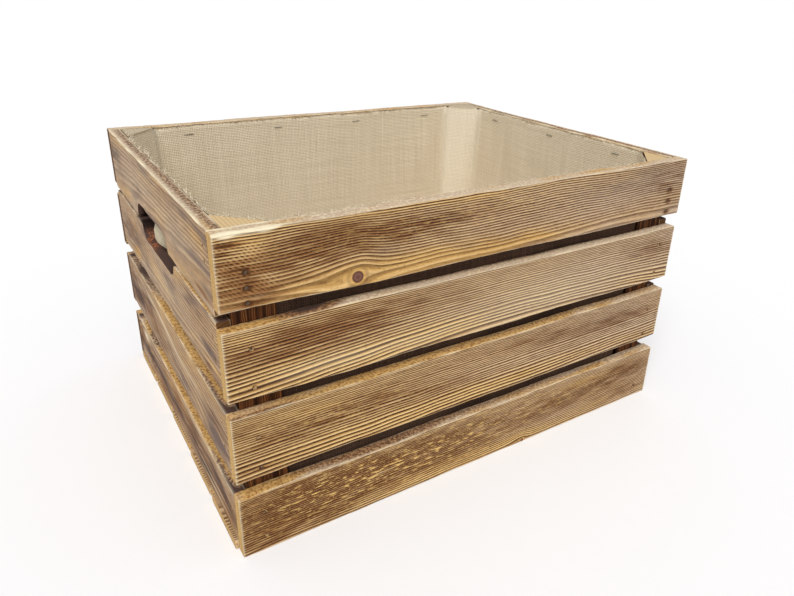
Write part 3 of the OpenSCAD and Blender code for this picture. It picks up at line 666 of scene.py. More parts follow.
class Socket:
    """An output in a material's node tree. Arithmetic written on it adds Math nodes."""

    def __init__(self, tree, socket=None):
        self.tree, self.socket = tree, socket

    def node(self, kind, settings=None, inputs=None, out=0):
        """Adds a node: its settings first, then the values or links of its sockets."""
        made = self.tree.nodes.new(kind)
        for key, value in (settings or {}).items():
            setattr(made, key, value)
        for key, value in (inputs or {}).items():
            if isinstance(value, Socket):
                self.tree.links.new(value.socket, made.inputs[key])
            else:
                made.inputs[key].default_value = value
        return Socket(self.tree, made.outputs[out])

    def other(self, out):
        """Another output of the same node."""
        return Socket(self.tree, self.socket.node.outputs[out])

    def math(self, operation, *values):
        """A Math node over this value and the ones that follow it."""
        inputs = dict(enumerate((self, *values)))
        return self.node("ShaderNodeMath", {"operation": operation}, inputs)

    def __add__(self, value):
        return self.math("ADD", value)

    def __sub__(self, value):
        return self.math("SUBTRACT", value)

    def __rsub__(self, value):
        return self.node("ShaderNodeMath", {"operation": "SUBTRACT"}, {0: value, 1: self})

    def __mul__(self, value):
        return self.math("MULTIPLY", value)

    __radd__, __rmul__ = __add__, __mul__

    def step(self, low, high):
        """0 where the value is below low and 1 where it is above high, smooth between them."""
        ends = {"From Min": low, "From Max": high}
        return self.node("ShaderNodeMapRange", {"interpolation_type": "SMOOTHSTEP"},
                         {"Value": self, **ends})

    def mix(self, first, second, blend="MIX"):
        """Blend of two colours, with this value as the share of the second one."""
        settings = {"data_type": "RGBA", "blend_type": blend, "clamp_factor": True}
        return self.node("ShaderNodeMix", settings, {0: self, 6: first, 7: second}, 2)

    def triple(self, name):
        """The three numbers of a vector attribute of the mesh."""
        vector = self.node("ShaderNodeAttribute", {"attribute_name": name}, {}, 1)
        parts = self.node("ShaderNodeSeparateXYZ", {}, {0: vector})
        return parts, parts.other(1), parts.other(2)

    def noise(self, scale, detail=2.0, roughness=0.5, offset=(0, 0, 0)):
        """Smooth noise from 0 to 1 over this vector, scaled separately in each direction."""
        place = self.node("ShaderNodeMapping", {}, {"Vector": self, "Scale": scale,
                                                    "Location": offset})
        return self.node("ShaderNodeTexNoise", {}, {"Vector": place, "Scale": 1.0,
                                                    "Detail": detail, "Roughness": roughness})


def new_material(name):
    """An empty material and the start of its node tree."""
    made = bpy.data.materials.new(name)
    made.use_nodes = True
    made.node_tree.nodes.clear()
    return made, Socket(made.node_tree)


def finish_material(start, colour, roughness, height=None, bump=0.0, metallic=0.0, specular=0.4,
                    glow=0.0):
    """Puts the colour, roughness and bump on a Principled shader and joins it to the output."""
    inputs = {"Base Color": colour, "Roughness": roughness, "Metallic": metallic,
              "Specular IOR Level": specular}
    if glow:
        inputs.update({"Emission Color": (1, 1, 1, 1), "Emission Strength": glow})
    if height is not None:
        inputs["Normal"] = start.node("ShaderNodeBump", {}, {"Height": height, "Strength": 1.0,
                                                            "Distance": bump})
    shader = start.node("ShaderNodeBsdfPrincipled", {}, inputs)
    output = start.tree.nodes.new("ShaderNodeOutputMaterial")
    start.tree.links.new(shader.socket, output.inputs["Surface"])


def board_wood(name, contrast=1.0, mottle=0.0):
    """Torched and brushed softwood, read from the growth rings that its mesh carries.

    Inside a ring the colour goes from the pale hard line over tan to the dark brushed groove.
    Torched patches darken all of it and leave the lines, greyed wood goes to taupe, worn edges
    to cream. Rough upper edges, sawn ends, charred cuts and knots have their own colours.
    contrast scales the lines, mottle adds soft grey and golden clouds.
    """
    ink = inks("kindling_wood")
    made, start = new_material(name)
    grain = start.node("ShaderNodeUVMap", {"uv_map": "grain"})
    place = start.node("ShaderNodeTexCoord", {}, {}, 3)
    ring = start.node("ShaderNodeAttribute", {"attribute_name": "ring"}, {}, 2)
    burn, pale, worn = start.triple("tone")
    gold, slate, hatch = start.triple("hue")
    sawn, end_grain, charred = start.triple("cut")
    reach, crisp, flecked = start.triple("knot")

    fibre = grain.noise((60, 1500, 1), 3, 0.6)
    streak = grain.noise((16, 430, 1), 2, 0.55, (3, 7, 0))
    cloud = grain.noise((12, 55, 1), 2, 0.5, (5, 1, 0))
    dash = grain.noise((190, 1000, 1), 1, 0.5, (9, 2, 0))
    speck = grain.noise((330, 1000, 1), 2, 0.55, (1, 8, 0))
    chips = grain.noise((85, 560, 1), 3, 0.6, (2, 4, 0))
    rough = place.noise((430, 430, 430), 2, 0.6)

    share = ring.math("FRACT")
    line = 1 - share.step(0.14, 0.42)
    line = line.math("MAXIMUM", share.step(0.97, 1.0))
    groove = share.step(0.34, 0.70) * (1 - share.step(0.92, 0.99))
    firm = crisp * (1 - 0.85 * sawn) * contrast
    groove = groove * firm * (0.35 + 1.2 * streak) * (0.5 + 1.0 * dash) * (1 - 0.8 * hatch)
    line = line * firm * (0.3 + 1.3 * streak) * (1 - 0.4 * burn)

    tan = fibre.step(0.3, 0.7).mix(ink.tan_dark, ink.tan_light)
    straw = fibre.step(0.3, 0.7).mix(ink.gold_dark, ink.gold_light)
    taupe = fibre.step(0.25, 0.75).mix(ink.taupe_dark, ink.taupe_light)
    body = (gold.step(0.0, 0.9) + mottle * (1 - cloud.step(0.3, 0.5))).mix(tan, straw)
    body = (pale * (0.6 + 0.8 * cloud)).mix(body, taupe)
    body = (line * 0.8).mix(body, pale.mix(ink.line, ink.line_pale))
    body = (groove * 0.95).mix(body, pale.mix(ink.groove, ink.groove_pale))
    body = (hatch * (0.2 + 0.5 * dash)).mix(body, ink.line)
    greyed = slate * (0.45 + 1.1 * cloud) + mottle * cloud.step(0.48, 0.75)
    body = greyed.step(0.0, 1.4).mix(body, ink.slate)
    torched = burn * (0.65 + 0.7 * cloud) * (0.8 + 0.4 * dash)
    body = torched.step(0.0, 1.0).mix(body, ink.torched, "MULTIPLY")
    body = (burn.step(1.2, 2.3) * 0.85).mix(body, ink.groove)
    body = ((1 - speck.step(0.3, 0.45)) * 0.4 * contrast).mix(body, ink.groove)
    flecks = speck.step(0.6, 0.7) * (0.15 + 0.5 * flecked) * contrast
    flecks = flecks.math("MAXIMUM", (flecked * 0.85) * chips.step(0.55, 0.63))
    body = flecks.mix(body, ink.fleck)

    bare = rough.step(0.4, 0.75).mix(ink.taupe_light, ink.worn)
    golden = rough.step(0.32, 0.6).mix(ink.sawn_dark, ink.sawn_light)
    dusky = rough.step(0.4, 0.64).mix(ink.dusk_dark, ink.dusk_light)
    ashen = rough.step(0.42, 0.66).mix(ink.slate, ink.line_pale)
    # Where the dark edge patches are strongest, the edge takes the char colour, partly painted shade.
    dusky = slate.step(1.0, 1.5).mix(pale.mix(dusky, ashen), ink.char)
    edge = gold.step(0.0, 0.8).mix(bare, golden)
    edge = slate.step(0.1, 0.8).mix(edge, dusky)
    body = (sawn * 0.9).mix(body, edge)
    end_tone = (groove * 0.6 + 0.5 * rough.step(0.4, 0.7)).mix(ink.end_light, ink.end_dark)
    end_tone = burn.mix(end_tone, ink.groove)
    body = (end_grain * 0.9).mix(body, end_tone)
    char = (rough.step(0.42, 0.62) * gold.step(0.3, 1.0)).mix(ink.char, ink.ember)
    # Where the dark edge patches are strong inside a hand slot, the char goes near black: burnt wood with
    # painted shade over it.
    char = slate.step(0.3, 0.9).mix(char, ink.soot)
    body = charred.step(0.3, 0.7).mix(body, char)
    body = (worn * (0.6 + 0.8 * dash)).mix(body, ink.worn)

    swirl = (reach * 9.0).math("SINE") * 0.5 + 0.5
    eye = (0.45 * swirl + 0.3 * fibre).mix(ink.knot, ink.knot_dark)
    arcs = (reach * 4.4).math("SINE").step(-0.4, 0.9) * (1 - reach.step(1.5, 3.2))
    body = ((1 - reach.step(1.05, 2.2)) * 0.85).mix(body, straw)
    body = (arcs * 0.35).mix(body, ink.groove_pale)
    body = (1 - reach.step(0.9, 1.04)).mix(body, eye)
    outline = reach.step(0.8, 0.98) * (1 - reach.step(1.0, 1.12))
    body = (outline * 0.7).mix(body, ink.knot_dark)

    height = 0.5 * line - 0.7 * groove + 0.5 * fibre + 0.4 * (rough * sawn)
    finish_material(start, body, 0.66 + 0.2 * fibre, height, 0.0004, specular=0.15)
    return made


def post_wood(name):
    """Dark upright grain of the corner posts, with a newly sawn tan end on top."""
    ink = inks("kindling_wood")
    made, start = new_material(name)
    grain = start.node("ShaderNodeUVMap", {"uv_map": "grain"})
    ring = start.node("ShaderNodeAttribute", {"attribute_name": "ring"}, {}, 2)
    _, on_end, _ = start.triple("cut")
    fibre = grain.noise((40, 1100, 1), 3, 0.6)
    streak = grain.noise((6, 260, 1), 2, 0.6, (3, 7, 0))
    share = ring.math("FRACT")
    stripe = share.step(0.15, 0.5) * (1 - share.step(0.8, 1.0))
    body = streak.step(0.35, 0.65).mix(ink.post_dark, ink.post_light)
    body = (stripe * 0.7).mix(body, ink.post_stripe)
    body = (fibre.step(0.4, 0.7) * 0.4).mix(body, ink.post_dark)
    fresh_end_and_painted_light = (0.6 * fibre + 0.3 * stripe).mix(ink.end_fresh, ink.end_light)
    body = on_end.mix(body, fresh_end_and_painted_light)
    finish_material(start, body, 0.7, 0.6 * stripe + fibre, 0.0004, specular=0.15)
    return made


def burlap_cloth(name, light, dark, pale, gap):
    """Plain jute weave: two sets of round threads, uneven in width and colour, dark between them."""
    cloth = bpy.context.scene.kindling_cloth
    made, start = new_material(name)
    weave = start.node("ShaderNodeUVMap", {"uv_map": "weave"})
    lit, fresh_end_and_painted_light, flap_painted_shade = start.triple("lit")
    pitch = cloth.weave_pitch
    across = start.node("ShaderNodeSeparateXYZ", {}, {0: weave})
    u = across * (1 / pitch) + 0.9 * weave.noise((28, 28, 1), 2, 0.5)
    v = across.other(1) * (1 / pitch) + 0.9 * weave.noise((28, 28, 1), 2, 0.5, (5, 5, 0))
    over_u, over_v = ((x * math.pi).math("SINE").math("ABSOLUTE") for x in (u, v))
    fuzz = weave.noise((2600, 2600, 1), 2, 0.6)
    thread_u = weave.noise((9, 1 / pitch * 0.9, 1), 2, 0.6)
    thread_v = weave.noise((1 / pitch * 0.9, 9, 1), 2, 0.6, (4, 2, 0))
    crossing = u.math("FLOOR") + v.math("FLOOR")
    odd = crossing.math("PINGPONG", 1.0)
    top = odd.node("ShaderNodeMix", {"data_type": "FLOAT"}, {0: odd, 2: over_u, 3: over_v})
    under = odd.node("ShaderNodeMix", {"data_type": "FLOAT"}, {0: odd, 2: over_v, 3: over_u})
    body_share = top.math("MAXIMUM", under * 0.75)
    tint = 0.5 * thread_u + 0.5 * thread_v
    colour = tint.step(0.25, 0.75).mix(dark, light)
    colour = (fuzz.step(0.35, 0.75) * 0.55).mix(colour, pale)
    hole = 1 - body_share.step(0.3, 0.62)
    colour = (hole * 0.85).mix(colour, gap)
    patch = weave.noise((6, 6, 1), 2, 0.5, (8, 3, 0))
    colour = (patch.step(0.45, 0.8) * 0.25).mix(colour, dark)
    # Painted light: the cloth near the corner posts is lightened towards the fuzz colour.
    colour = fresh_end_and_painted_light.mix(colour, pale)
    # Painted shade: the flap over the rear posts is darkened towards the gap colour.
    colour = (flap_painted_shade * 0.45).mix(colour, gap)
    # Painted light: the cloth in the left hand slot is lightened towards the jute_lit colour.
    colour = (lit * (1 - 0.3 * hole)).mix(colour, linear(cloth.jute_lit))
    finish_material(start, colour, 0.92, body_share + 0.25 * fuzz, 0.0006, specular=0.15)
    return made


def metal(name, first, second, rough, metallic, rusty_above=1.0):
    """Dull steel with spots of rust and scale, and dark with rust above a height in metres."""
    made, start = new_material(name)
    place = start.node("ShaderNodeTexCoord", {}, {}, 3)
    spots = place.noise((420, 420, 420), 2, 0.6)
    fine = place.noise((1500, 1500, 1500), 2, 0.6)
    colour = spots.step(0.42, 0.6).mix(linear(first), linear(second))
    height = start.node("ShaderNodeSeparateXYZ", {}, {0: place}, 2)
    rusty = height.step(rusty_above, rusty_above + 0.002) * (0.6 + 0.4 * spots)
    colour = rusty.mix(colour, RUST)
    finish_material(start, colour, rough + 0.2 * fine, fine, 0.0001, metallic=metallic)
    return made


# ---- what a user would change


def sizes_and_colours(table):
    """Properties from lines of key, values and description. One value is a length in
    millimetres, three are a colour's screen values out of 255."""
    made = {}
    for line in table.strip().splitlines():
        key, numbers, what = re.fullmatch(r"\s*(\w+) +([\d. ]*\d) +(\D.*)", line).groups()
        values = [float(x) for x in numbers.split()]
        label = {"name": key.replace("_", " ").capitalize(), "description": what}
        if len(values) == 1:
            made[key] = FloatProperty(unit="LENGTH", min=0, precision=5, default=values[0] * MM, **label)
        else:
            made[key] = FloatVectorProperty(subtype="COLOR_GAMMA", size=3, min=0, max=1,
                                            default=[x / 255 for x in values], **label)
    return made


class KINDLING_PG_wood(bpy.types.PropertyGroup):
    # char           82  62  55 Burnt faces of the hand slots, and the darkest upper edges, partly painted shade
    # dusk_light    180 136  92 Light flecks of the dark upper edges         dusk_dark     104  70  44 Dark upper edges of the boards: scorch, and painted shade at the rear of the slats
    __annotations__ = sizes_and_colours("""
        row_step      0.45        Distance between a board's mesh rows across the grain
        run_step      4.0         Distance between a board's mesh rows along the grain
        slat_relief   0.5         Depth of the brushed grooves on the long slats
        end_relief    0.14        Depth of the grooves on the end boards
        edge_wear     0.9         How far wear eats into the boards' long edges
        post_relief   0.35        Depth of the grooves on the corner posts
        tan_light     186 145  96 Raised soft wood
        tan_dark      140 101  58 Fibres in the soft wood
        gold_light    216 174 106 Golden patches
        gold_dark     172 128  70 Fibres in the golden patches
        taupe_light   198 174 149 Greyed wood
        taupe_dark    142 119 100 Fibres in the greyed wood
        line          238 206 150 Pale raised line of each ring
        line_pale     226 198 162 Raised line in greyed wood
        groove         74  42  16 Dark brushed groove of each ring
        groove_pale    94  64  40 Groove in greyed wood
        torched       190 166 148 Tint of the wood browned by the torch
        slate         112  92  82 Purple-grey scorched wood
        fleck         224 186 114 Specks rubbed bare
        worn          240 226 194 Corners rubbed bare
        sawn_light    218 176 108 Rough upper edges of the boards
        sawn_dark     150 104  54 Dark flecks of the rough edges
        dusk_light    180 136  92 Light flecks of the scorched upper edges
        dusk_dark     104  70  44 Scorched upper edges of the boards
        end_light     204 168 110 Sawn ends of the boards
        end_dark      166 128  74 Rings in the sawn ends
        end_fresh     224 200 160 Sawn tops of the corner posts
        knot          124  86  74 Middle of a knot
        knot_dark      78  46  34 Rings and outline of a knot
        char           82  62  55 Burnt faces of the hand slots
        soot           34  20  16 Deepest part of the hand slots
        ember         158  98  64 Lighter specks in the hand slots
        post_dark      60  32  18 Dark wood of the corner posts
        post_light    156 100  56 Lighter streaks of the posts
        post_stripe    38  18  10 Upright stripes of the posts
        """)


class KINDLING_PG_cloth(bpy.types.PropertyGroup):
    # jute_lit      206 192 164 Painted light on the burlap that shows in the hand slot
    # shade_light    96  74  60 Lighter threads of the outer side, painted shade         shade_dark     58  42  32 Darker threads of the outer side, painted shade         shade_gap      10   8   8 Gaps of the outer side, painted shade
    __annotations__ = sizes_and_colours("""
        weave_pitch   1.9         Distance between two threads of the burlap
        thickness     0.8         Thickness of the burlap
        slack         3.2         How far the burlap stands off the wall in its folds
        mesh_step     3.6         Size of the burlap's mesh cells
        fringe_length 9.0         Length of the frayed threads along the top
        jute_light    245 230 203 Lighter threads
        jute_dark     216 199 168 Darker threads
        jute_pale     252 242 220 Fuzz on the threads
        jute_gap      152 133 107 Gaps of the weave
        shade_light    96  74  60 Lighter threads on the smoked outer side
        shade_dark     58  42  32 Darker threads on the smoked outer side
        shade_gap      10   8   8 Gaps of the smoked outer side
        jute_lit      206 192 164 Clean burlap that shows in the hand slot
        """)
    fringe_count: IntProperty(
        name="Frayed threads", default=2600, min=0,
        description="How many threads stand out along the burlap's upper edge")


class KINDLING_PG_studio(bpy.types.PropertyGroup):
    __annotations__ = sizes_and_colours("""
        floor_tone    246 246 247 Colour of the studio floor
        """)
    floor_glow: FloatProperty(name="Floor glow", default=0.03, min=0,
                              description="Light that the floor gives off")
    sky: FloatProperty(name="Room light", default=0.46, min=0,
                       description="Strength of the even light from all round")
    key: FloatProperty(name="Main lamp", default=2.5, min=0,
                       description="Strength of the soft main lamp")
    key_spread: FloatProperty(name="Lamp spread", default=math.radians(38), min=0, subtype="ANGLE",
                              description="Apparent size of the main lamp")


# ---- pieces


def both_ends(reach, heights):
    """The same places at both ends of a board, as pairs along and up."""
    return [(side * reach, up) for side in (-1, 1) for up in heights]


class KINDLING_OT_long_slats(bpy.types.Operator):
    """Builds the four front and the four rear slats with their brushed grain"""

    bl_idname = "kindling.long_slats"
    bl_label = "Long slats"

    def execute(self, context):
        relief = context.scene.kindling_wood.slat_relief / MM
        surface = board_wood("long_slat_wood")
        for wall in ("front", "rear"):
            for row, (low, high) in enumerate(SLAT_ROWS):
                name = f"{wall}_slat_{row + 1}"
                nails = both_ends(BOX_HALF_X - SLAT_NAIL_INSET, [low[2] + up for up in SLAT_NAIL_UP[row]])
                made = plank(name, wall, BOX_HALF_X, low[2], high[2], SLAT_THICK, relief, nails)
                dress(made, [name], surface)
        return {"FINISHED"}


class KINDLING_OT_end_boards(bpy.types.Operator):
    """Builds the four left and the four right end boards, the upper two cut by a hand slot"""

    bl_idname = "kindling.end_boards"
    bl_label = "End boards"

    def execute(self, context):
        relief = context.scene.kindling_wood.end_relief / MM
        surface = board_wood("end_board_wood", 0.36, 1.0)
        round_end = HAND_SLOT_LENGTH / 2 - HAND_SLOT_HEIGHT / 4
        for wall in ("left", "right"):
            for row, (low, high) in enumerate(END_ROWS):
                name = f"{wall}_board_{row + 1}"
                start = SLAT_ROWS[row][0][2]
                nails = both_ends(BOX_HALF_Y - END_NAIL_INSET, [start + up for up in END_NAIL_UP[row]])
                slotted = {0: -1, 1: 1}.get(row, 0)
                shift = BOARDS[name].get("slot_shift", 0)
                close = [(side * round_end + shift, 9, 0.7) for side in (-1, 1)] if slotted else []
                made = plank(name, wall, INNER_Y, low[2], high[2], END_THICK, relief, nails, close,
                             slotted)
                dress(made, [name], surface)
        return {"FINISHED"}


class KINDLING_OT_floor_boards(bpy.types.Operator):
    """Builds the five floor boards with their brushed undersides"""

    bl_idname = "kindling.floor_boards"
    bl_label = "Floor boards"

    def execute(self, context):
        surface = board_wood("floor_wood", 0.7)
        for number in (1, 2, 3, 4, 5):
            name = f"floor_board_{number}"
            low, high = corners_mm(name)
            middle = (low[1] + high[1]) / 2
            places = [-middle + side * FLOOR_NAIL_PITCH / 2 for side in (-1, 1)]
            nails = both_ends(BOX_HALF_X - END_THICK / 2, places)
            made = plank(name, "underside", high[0], -high[1], -low[1], FLOOR_TOP, FLOOR_RELIEF, nails)
            dress(made, [name], surface)
        return {"FINISHED"}


def corner_post(name, side_x, side_y):
    """An upright post with a triangular outline carried up its stations.

    The outline runs from the square corner along one wall, over the slanted face and back
    along the other wall. Each point moves inwards by the groove depth of stripes that count
    the distance along the outline and wander with the height.
    """
    relief = bpy.context.scene.kindling_wood.post_relief / MM
    seed = 70 + 2 * side_x + side_y
    arm = POST_LEG - POST_NOSE
    knees = np.array([[0, 0], [arm, 0], [arm, POST_NOSE], [POST_NOSE, arm], [0, arm], [0, 0]], float)
    counts = [64, 4, 24, 4, 64]
    outline, inward, told = [], [], []
    travelled = 0.0
    for a, b, n in zip(knees[:-1], knees[1:], counts):
        t = np.linspace(0, 1, n, endpoint=False)[:, None]
        run = np.linalg.norm(b - a)
        outline.append(a + (b - a) * t)
        inward.append(np.tile(np.array([-(b - a)[1], (b - a)[0]]) / run, (n, 1)))
        told.append(travelled + run * t[:, 0])
        travelled += run
    outline, inward, told = np.concatenate(outline), np.concatenate(inward), np.concatenate(told)
    low, high = POST_LOW[2], POST_HIGH[2]
    z = np.concatenate([[low, low + 0.5], np.arange(low + 4, high - 3, 4.5), [high - 0.5, high]])
    inset = np.where((z == low) | (z == high), 0.4, 0.0)
    stripes = told[:, None] / 1.3 + 0.5 * waves(told[:, None], z, 9, 90, seed)
    move = relief * groove_share(stripes) + 0.12 * (1 + waves(told[:, None], z, 3, 40, seed + 1))
    move = np.clip(move, 0, None) * (1 - 0.8 * (z > high - 1)) + inset
    flat_x = outline[:, None, 0] + move * inward[:, None, 0]
    flat_y = outline[:, None, 1] + move * inward[:, None, 1]
    x = side_x * (INNER_X - flat_x)
    y = side_y * (INNER_Y - flat_y)
    points = np.stack([x, y, z + 0 * x], -1).reshape(-1, 3)
    n, m = x.shape
    index = np.arange(n * m).reshape(n, m)
    turned = np.roll(index, -1, axis=0)
    quads = np.stack([index[:, :-1], turned[:, :-1], turned[:, 1:], index[:, 1:]], -1).reshape(-1, 4)
    top, bottom = index[:, -1], index[::-1, 0]
    rim = points.copy()
    points = np.concatenate([points, rim[top], rim[bottom]])
    lid = n * m + np.arange(n)
    base = n * m + n + np.arange(n)
    flip = side_x * side_y < 0
    order = -1 if flip else 1
    faces = quads[:, ::order].tolist() + [lid[::order].tolist(), base[::order].tolist()]
    on_end = np.concatenate([np.zeros(n * m), np.ones(2 * n)])
    rings = np.concatenate([stripes.ravel(), points[n * m :, 0] / 3.0])
    values = {"ring": rings, "cut": np.stack([0 * on_end, on_end, 0 * on_end], -1)}
    u = np.concatenate([(z + 0 * x).ravel(), points[n * m :, 0]])
    v = np.concatenate([np.broadcast_to(told[:, None], x.shape).ravel(), points[n * m :, 1]])
    uvs = np.stack([u * MM + seed, v * MM], -1)
    return write_mesh(name + "_wood", points, faces, values, uvs, "grain")


class KINDLING_OT_corner_posts(bpy.types.Operator):
    """Builds the four triangular corner posts"""

    bl_idname = "kindling.corner_posts"
    bl_label = "Corner posts"

    def execute(self, context):
        surface = post_wood("post_wood")
        for name, side_x, side_y in (("post_front_left", -1, -1), ("post_front_right", 1, -1),
                                     ("post_rear_left", -1, 1), ("post_rear_right", 1, 1)):
            dress(corner_post(name, side_x, side_y), [name], surface)
        return {"FINISHED"}


# ---- burlap


def liner_outline(step):
    """Eight-sided outline of the inside, as points about step apart, with their inward
    directions smoothed round the corners, the distance told along it, and how far each point of
    the rear corners lies from the square corner behind the post."""
    cut = POST_LEG + CLOTH_OFF * (math.sqrt(2) - 1)
    x, y = INNER_X - CLOTH_OFF, INNER_Y - CLOTH_OFF
    a, b = INNER_X - cut, INNER_Y - cut
    knees = np.array([[-a, -y], [a, -y], [x, -b], [x, b], [a, y], [-a, y], [-x, b], [-x, -b], [-a, -y]])
    points = []
    for p, q in zip(knees[:-1], knees[1:]):
        n = max(3, round(np.linalg.norm(q - p) / step))
        points.append(p + (q - p) * np.linspace(0, 1, n, endpoint=False)[:, None])
    points = np.concatenate(points)
    for _ in range(2):
        points = 0.5 * points + 0.25 * (np.roll(points, 1, 0) + np.roll(points, -1, 0))
    ahead = np.roll(points, -1, 0) - np.roll(points, 1, 0)
    for _ in range(3):
        ahead = 0.5 * ahead + 0.25 * (np.roll(ahead, 1, 0) + np.roll(ahead, -1, 0))
    ahead /= np.linalg.norm(ahead, axis=1, keepdims=True)
    inward = np.stack([-ahead[:, 1], ahead[:, 0]], 1)
    told = np.concatenate([[0], np.cumsum(np.linalg.norm(np.roll(points, -1, 0) - points, axis=1))])
    outward = np.where(np.abs(inward) > 0.05, -inward, 0.05)
    behind = np.clip((np.sign(outward) * [x, y] - points) / outward, 0, None).min(axis=1)
    return points, inward, told, behind * (points[:, 1] > 0)


def staple_places():
    """Where the staples hold the burlap, as x, y and z."""
    z = LINER_TOP - STAPLE_DROP
    reach_x = INNER_X - POST_LEG - STAPLE_INSET
    reach_y = INNER_Y - POST_LEG - STAPLE_INSET
    long = [(x, side * INNER_Y, z) for side in (-1, 1)
            for x in np.linspace(-reach_x, reach_x, STAPLES_LONG)]
    end = [(side * INNER_X, y, z) for side in (-1, 1)
           for y in np.linspace(-reach_y, reach_y, STAPLES_END)]
    return np.array(long + end)


def liner_slack(told, z, points):
    """How far the hung burlap stands off the wood at each height.

    Slack = folds that run down the wall, deeper lower down, times the distance from the nearest
    staple. In the left hand slot the burlap bulges out by a flat-topped bump: exp(-t^4) along
    it, eased in above the slot's lower edge and out above its middle.
    """
    cloth = bpy.context.scene.kindling_cloth
    round_it = told[-1]
    turn = 2 * np.pi * told[:-1, None] / round_it
    ring_x, ring_y = round_it / (2 * np.pi) * np.cos(turn), round_it / (2 * np.pi) * np.sin(turn)
    drop = (LINER_TOP - z) / (LINER_TOP - FLOOR_TOP)
    folds = waves(ring_x + 0.12 * z, ring_y, 62, 62, 91, 18)
    folds = ease(folds + 0.45 * waves(ring_x, ring_y + 0.3 * z, 24, 24, 92, 18), -0.6, 2.2)
    wide = ease(waves(ring_x + 0.5 * z, ring_y - 0.4 * z, 120, 120, 93), -0.8, 1.8)
    slack = cloth.slack / MM * (folds * (0.25 + 0.75 * drop) + 0.5 * wide * ease(drop, 0.05, 0.5))
    for x0, y0, z0 in staple_places():
        reach = np.sqrt((points[:, None, 0] - x0) ** 2 + (points[:, None, 1] - y0) ** 2
                        + (0.6 * (z - z0)) ** 2)
        slack = slack * ease(reach, 5, 26)
    slack = slack * (0.35 + 0.65 * ease(drop, 0.0, 0.12)) * (1 - 0.6 * ease(drop, 0.93, 1.0))
    s, at_left = -points[:, None, 1], points[:, None, 0] < -0.9 * INNER_X
    up = z - HAND_SLOT_Z
    bulge = SLOT_BULGE * np.exp(-(((s + 15) / 19) ** 4)) * ease(up, -15.5, -9) * (1 - ease(up, 1, 9))
    return slack - at_left * (bulge + slack * ease(bulge, 0, 1.5))


def hung_cloth(step):
    """Grid of the cloth's points, around by downwards, with the number of its hanging rows and
    the inward directions, upper edge and told distance of its outline.

    The first rows lie over the tops of the rear posts, and hang straight everywhere else. Then
    come the wall, a quarter circle from the wall to the floor, and the circle's last ring drawn
    in towards the middle of the floor, with a ripple.
    """
    points, inward, told, behind = liner_outline(step)
    base = FLOOR_TOP + CLOTH_LIFT
    flap = ease(behind, 0, 5)
    edge = LINER_TOP + 0.6 - 0.5 * (1 + waves(points[:, 0], points[:, 1], 55, 55, 95))
    edge = np.minimum(edge, LINER_TOP + 0.6) * (1 - flap) + (POST_HIGH[2] + 0.6) * flap
    row = np.arange(FLAP_ROWS)
    z_flap = edge[:, None] - (1 - flap[:, None]) * step * row
    below = (edge - (1 - flap) * step * FLAP_ROWS)[:, None]
    share = np.linspace(0, 1, int((LINER_TOP - base - FLOOR_BEND) / step) - FLAP_ROWS)
    z_wall = np.concatenate([z_flap, below + (base + FLOOR_BEND - below) * share], 1)
    over = behind[:, None] * np.concatenate([1 - row / FLAP_ROWS, 0 * share])
    slack = liner_slack(told, z_wall, points)
    slack = np.where(behind[:, None] > 0, slack * ease(edge[:, None] - z_wall, 0, 20), slack)
    wall = points[:, None, :] + (slack - over)[..., None] * inward[:, None, :]
    angle = np.linspace(0, np.pi / 2, 6)[1:]
    z_bend = base + FLOOR_BEND * (1 - np.sin(angle)) + 0 * points[:, :1]
    into = slack[:, -1:] + FLOOR_BEND * (1 - np.cos(angle))
    turn = points[:, None, :] + into[..., None] * inward[:, None, :]
    share_in = 1 - np.linspace(0, 1, int(INNER_Y / (1.6 * step)))[1:-1]
    floor = turn[:, -1, None, :] * share_in[None, :, None]
    ripple_up = ease(waves(floor[..., 0], floor[..., 1], 70, 45, 97), -0.5, 2.0)
    z_floor = base + 1.6 * ripple_up * ease(1 - share_in, 0.02, 0.2)
    height = np.concatenate([z_wall, z_bend, z_floor], 1)
    grid = np.concatenate([np.concatenate([wall, turn, floor], 1), height[..., None]], -1)
    return grid, wall.shape[1] + turn.shape[1], inward, edge, told


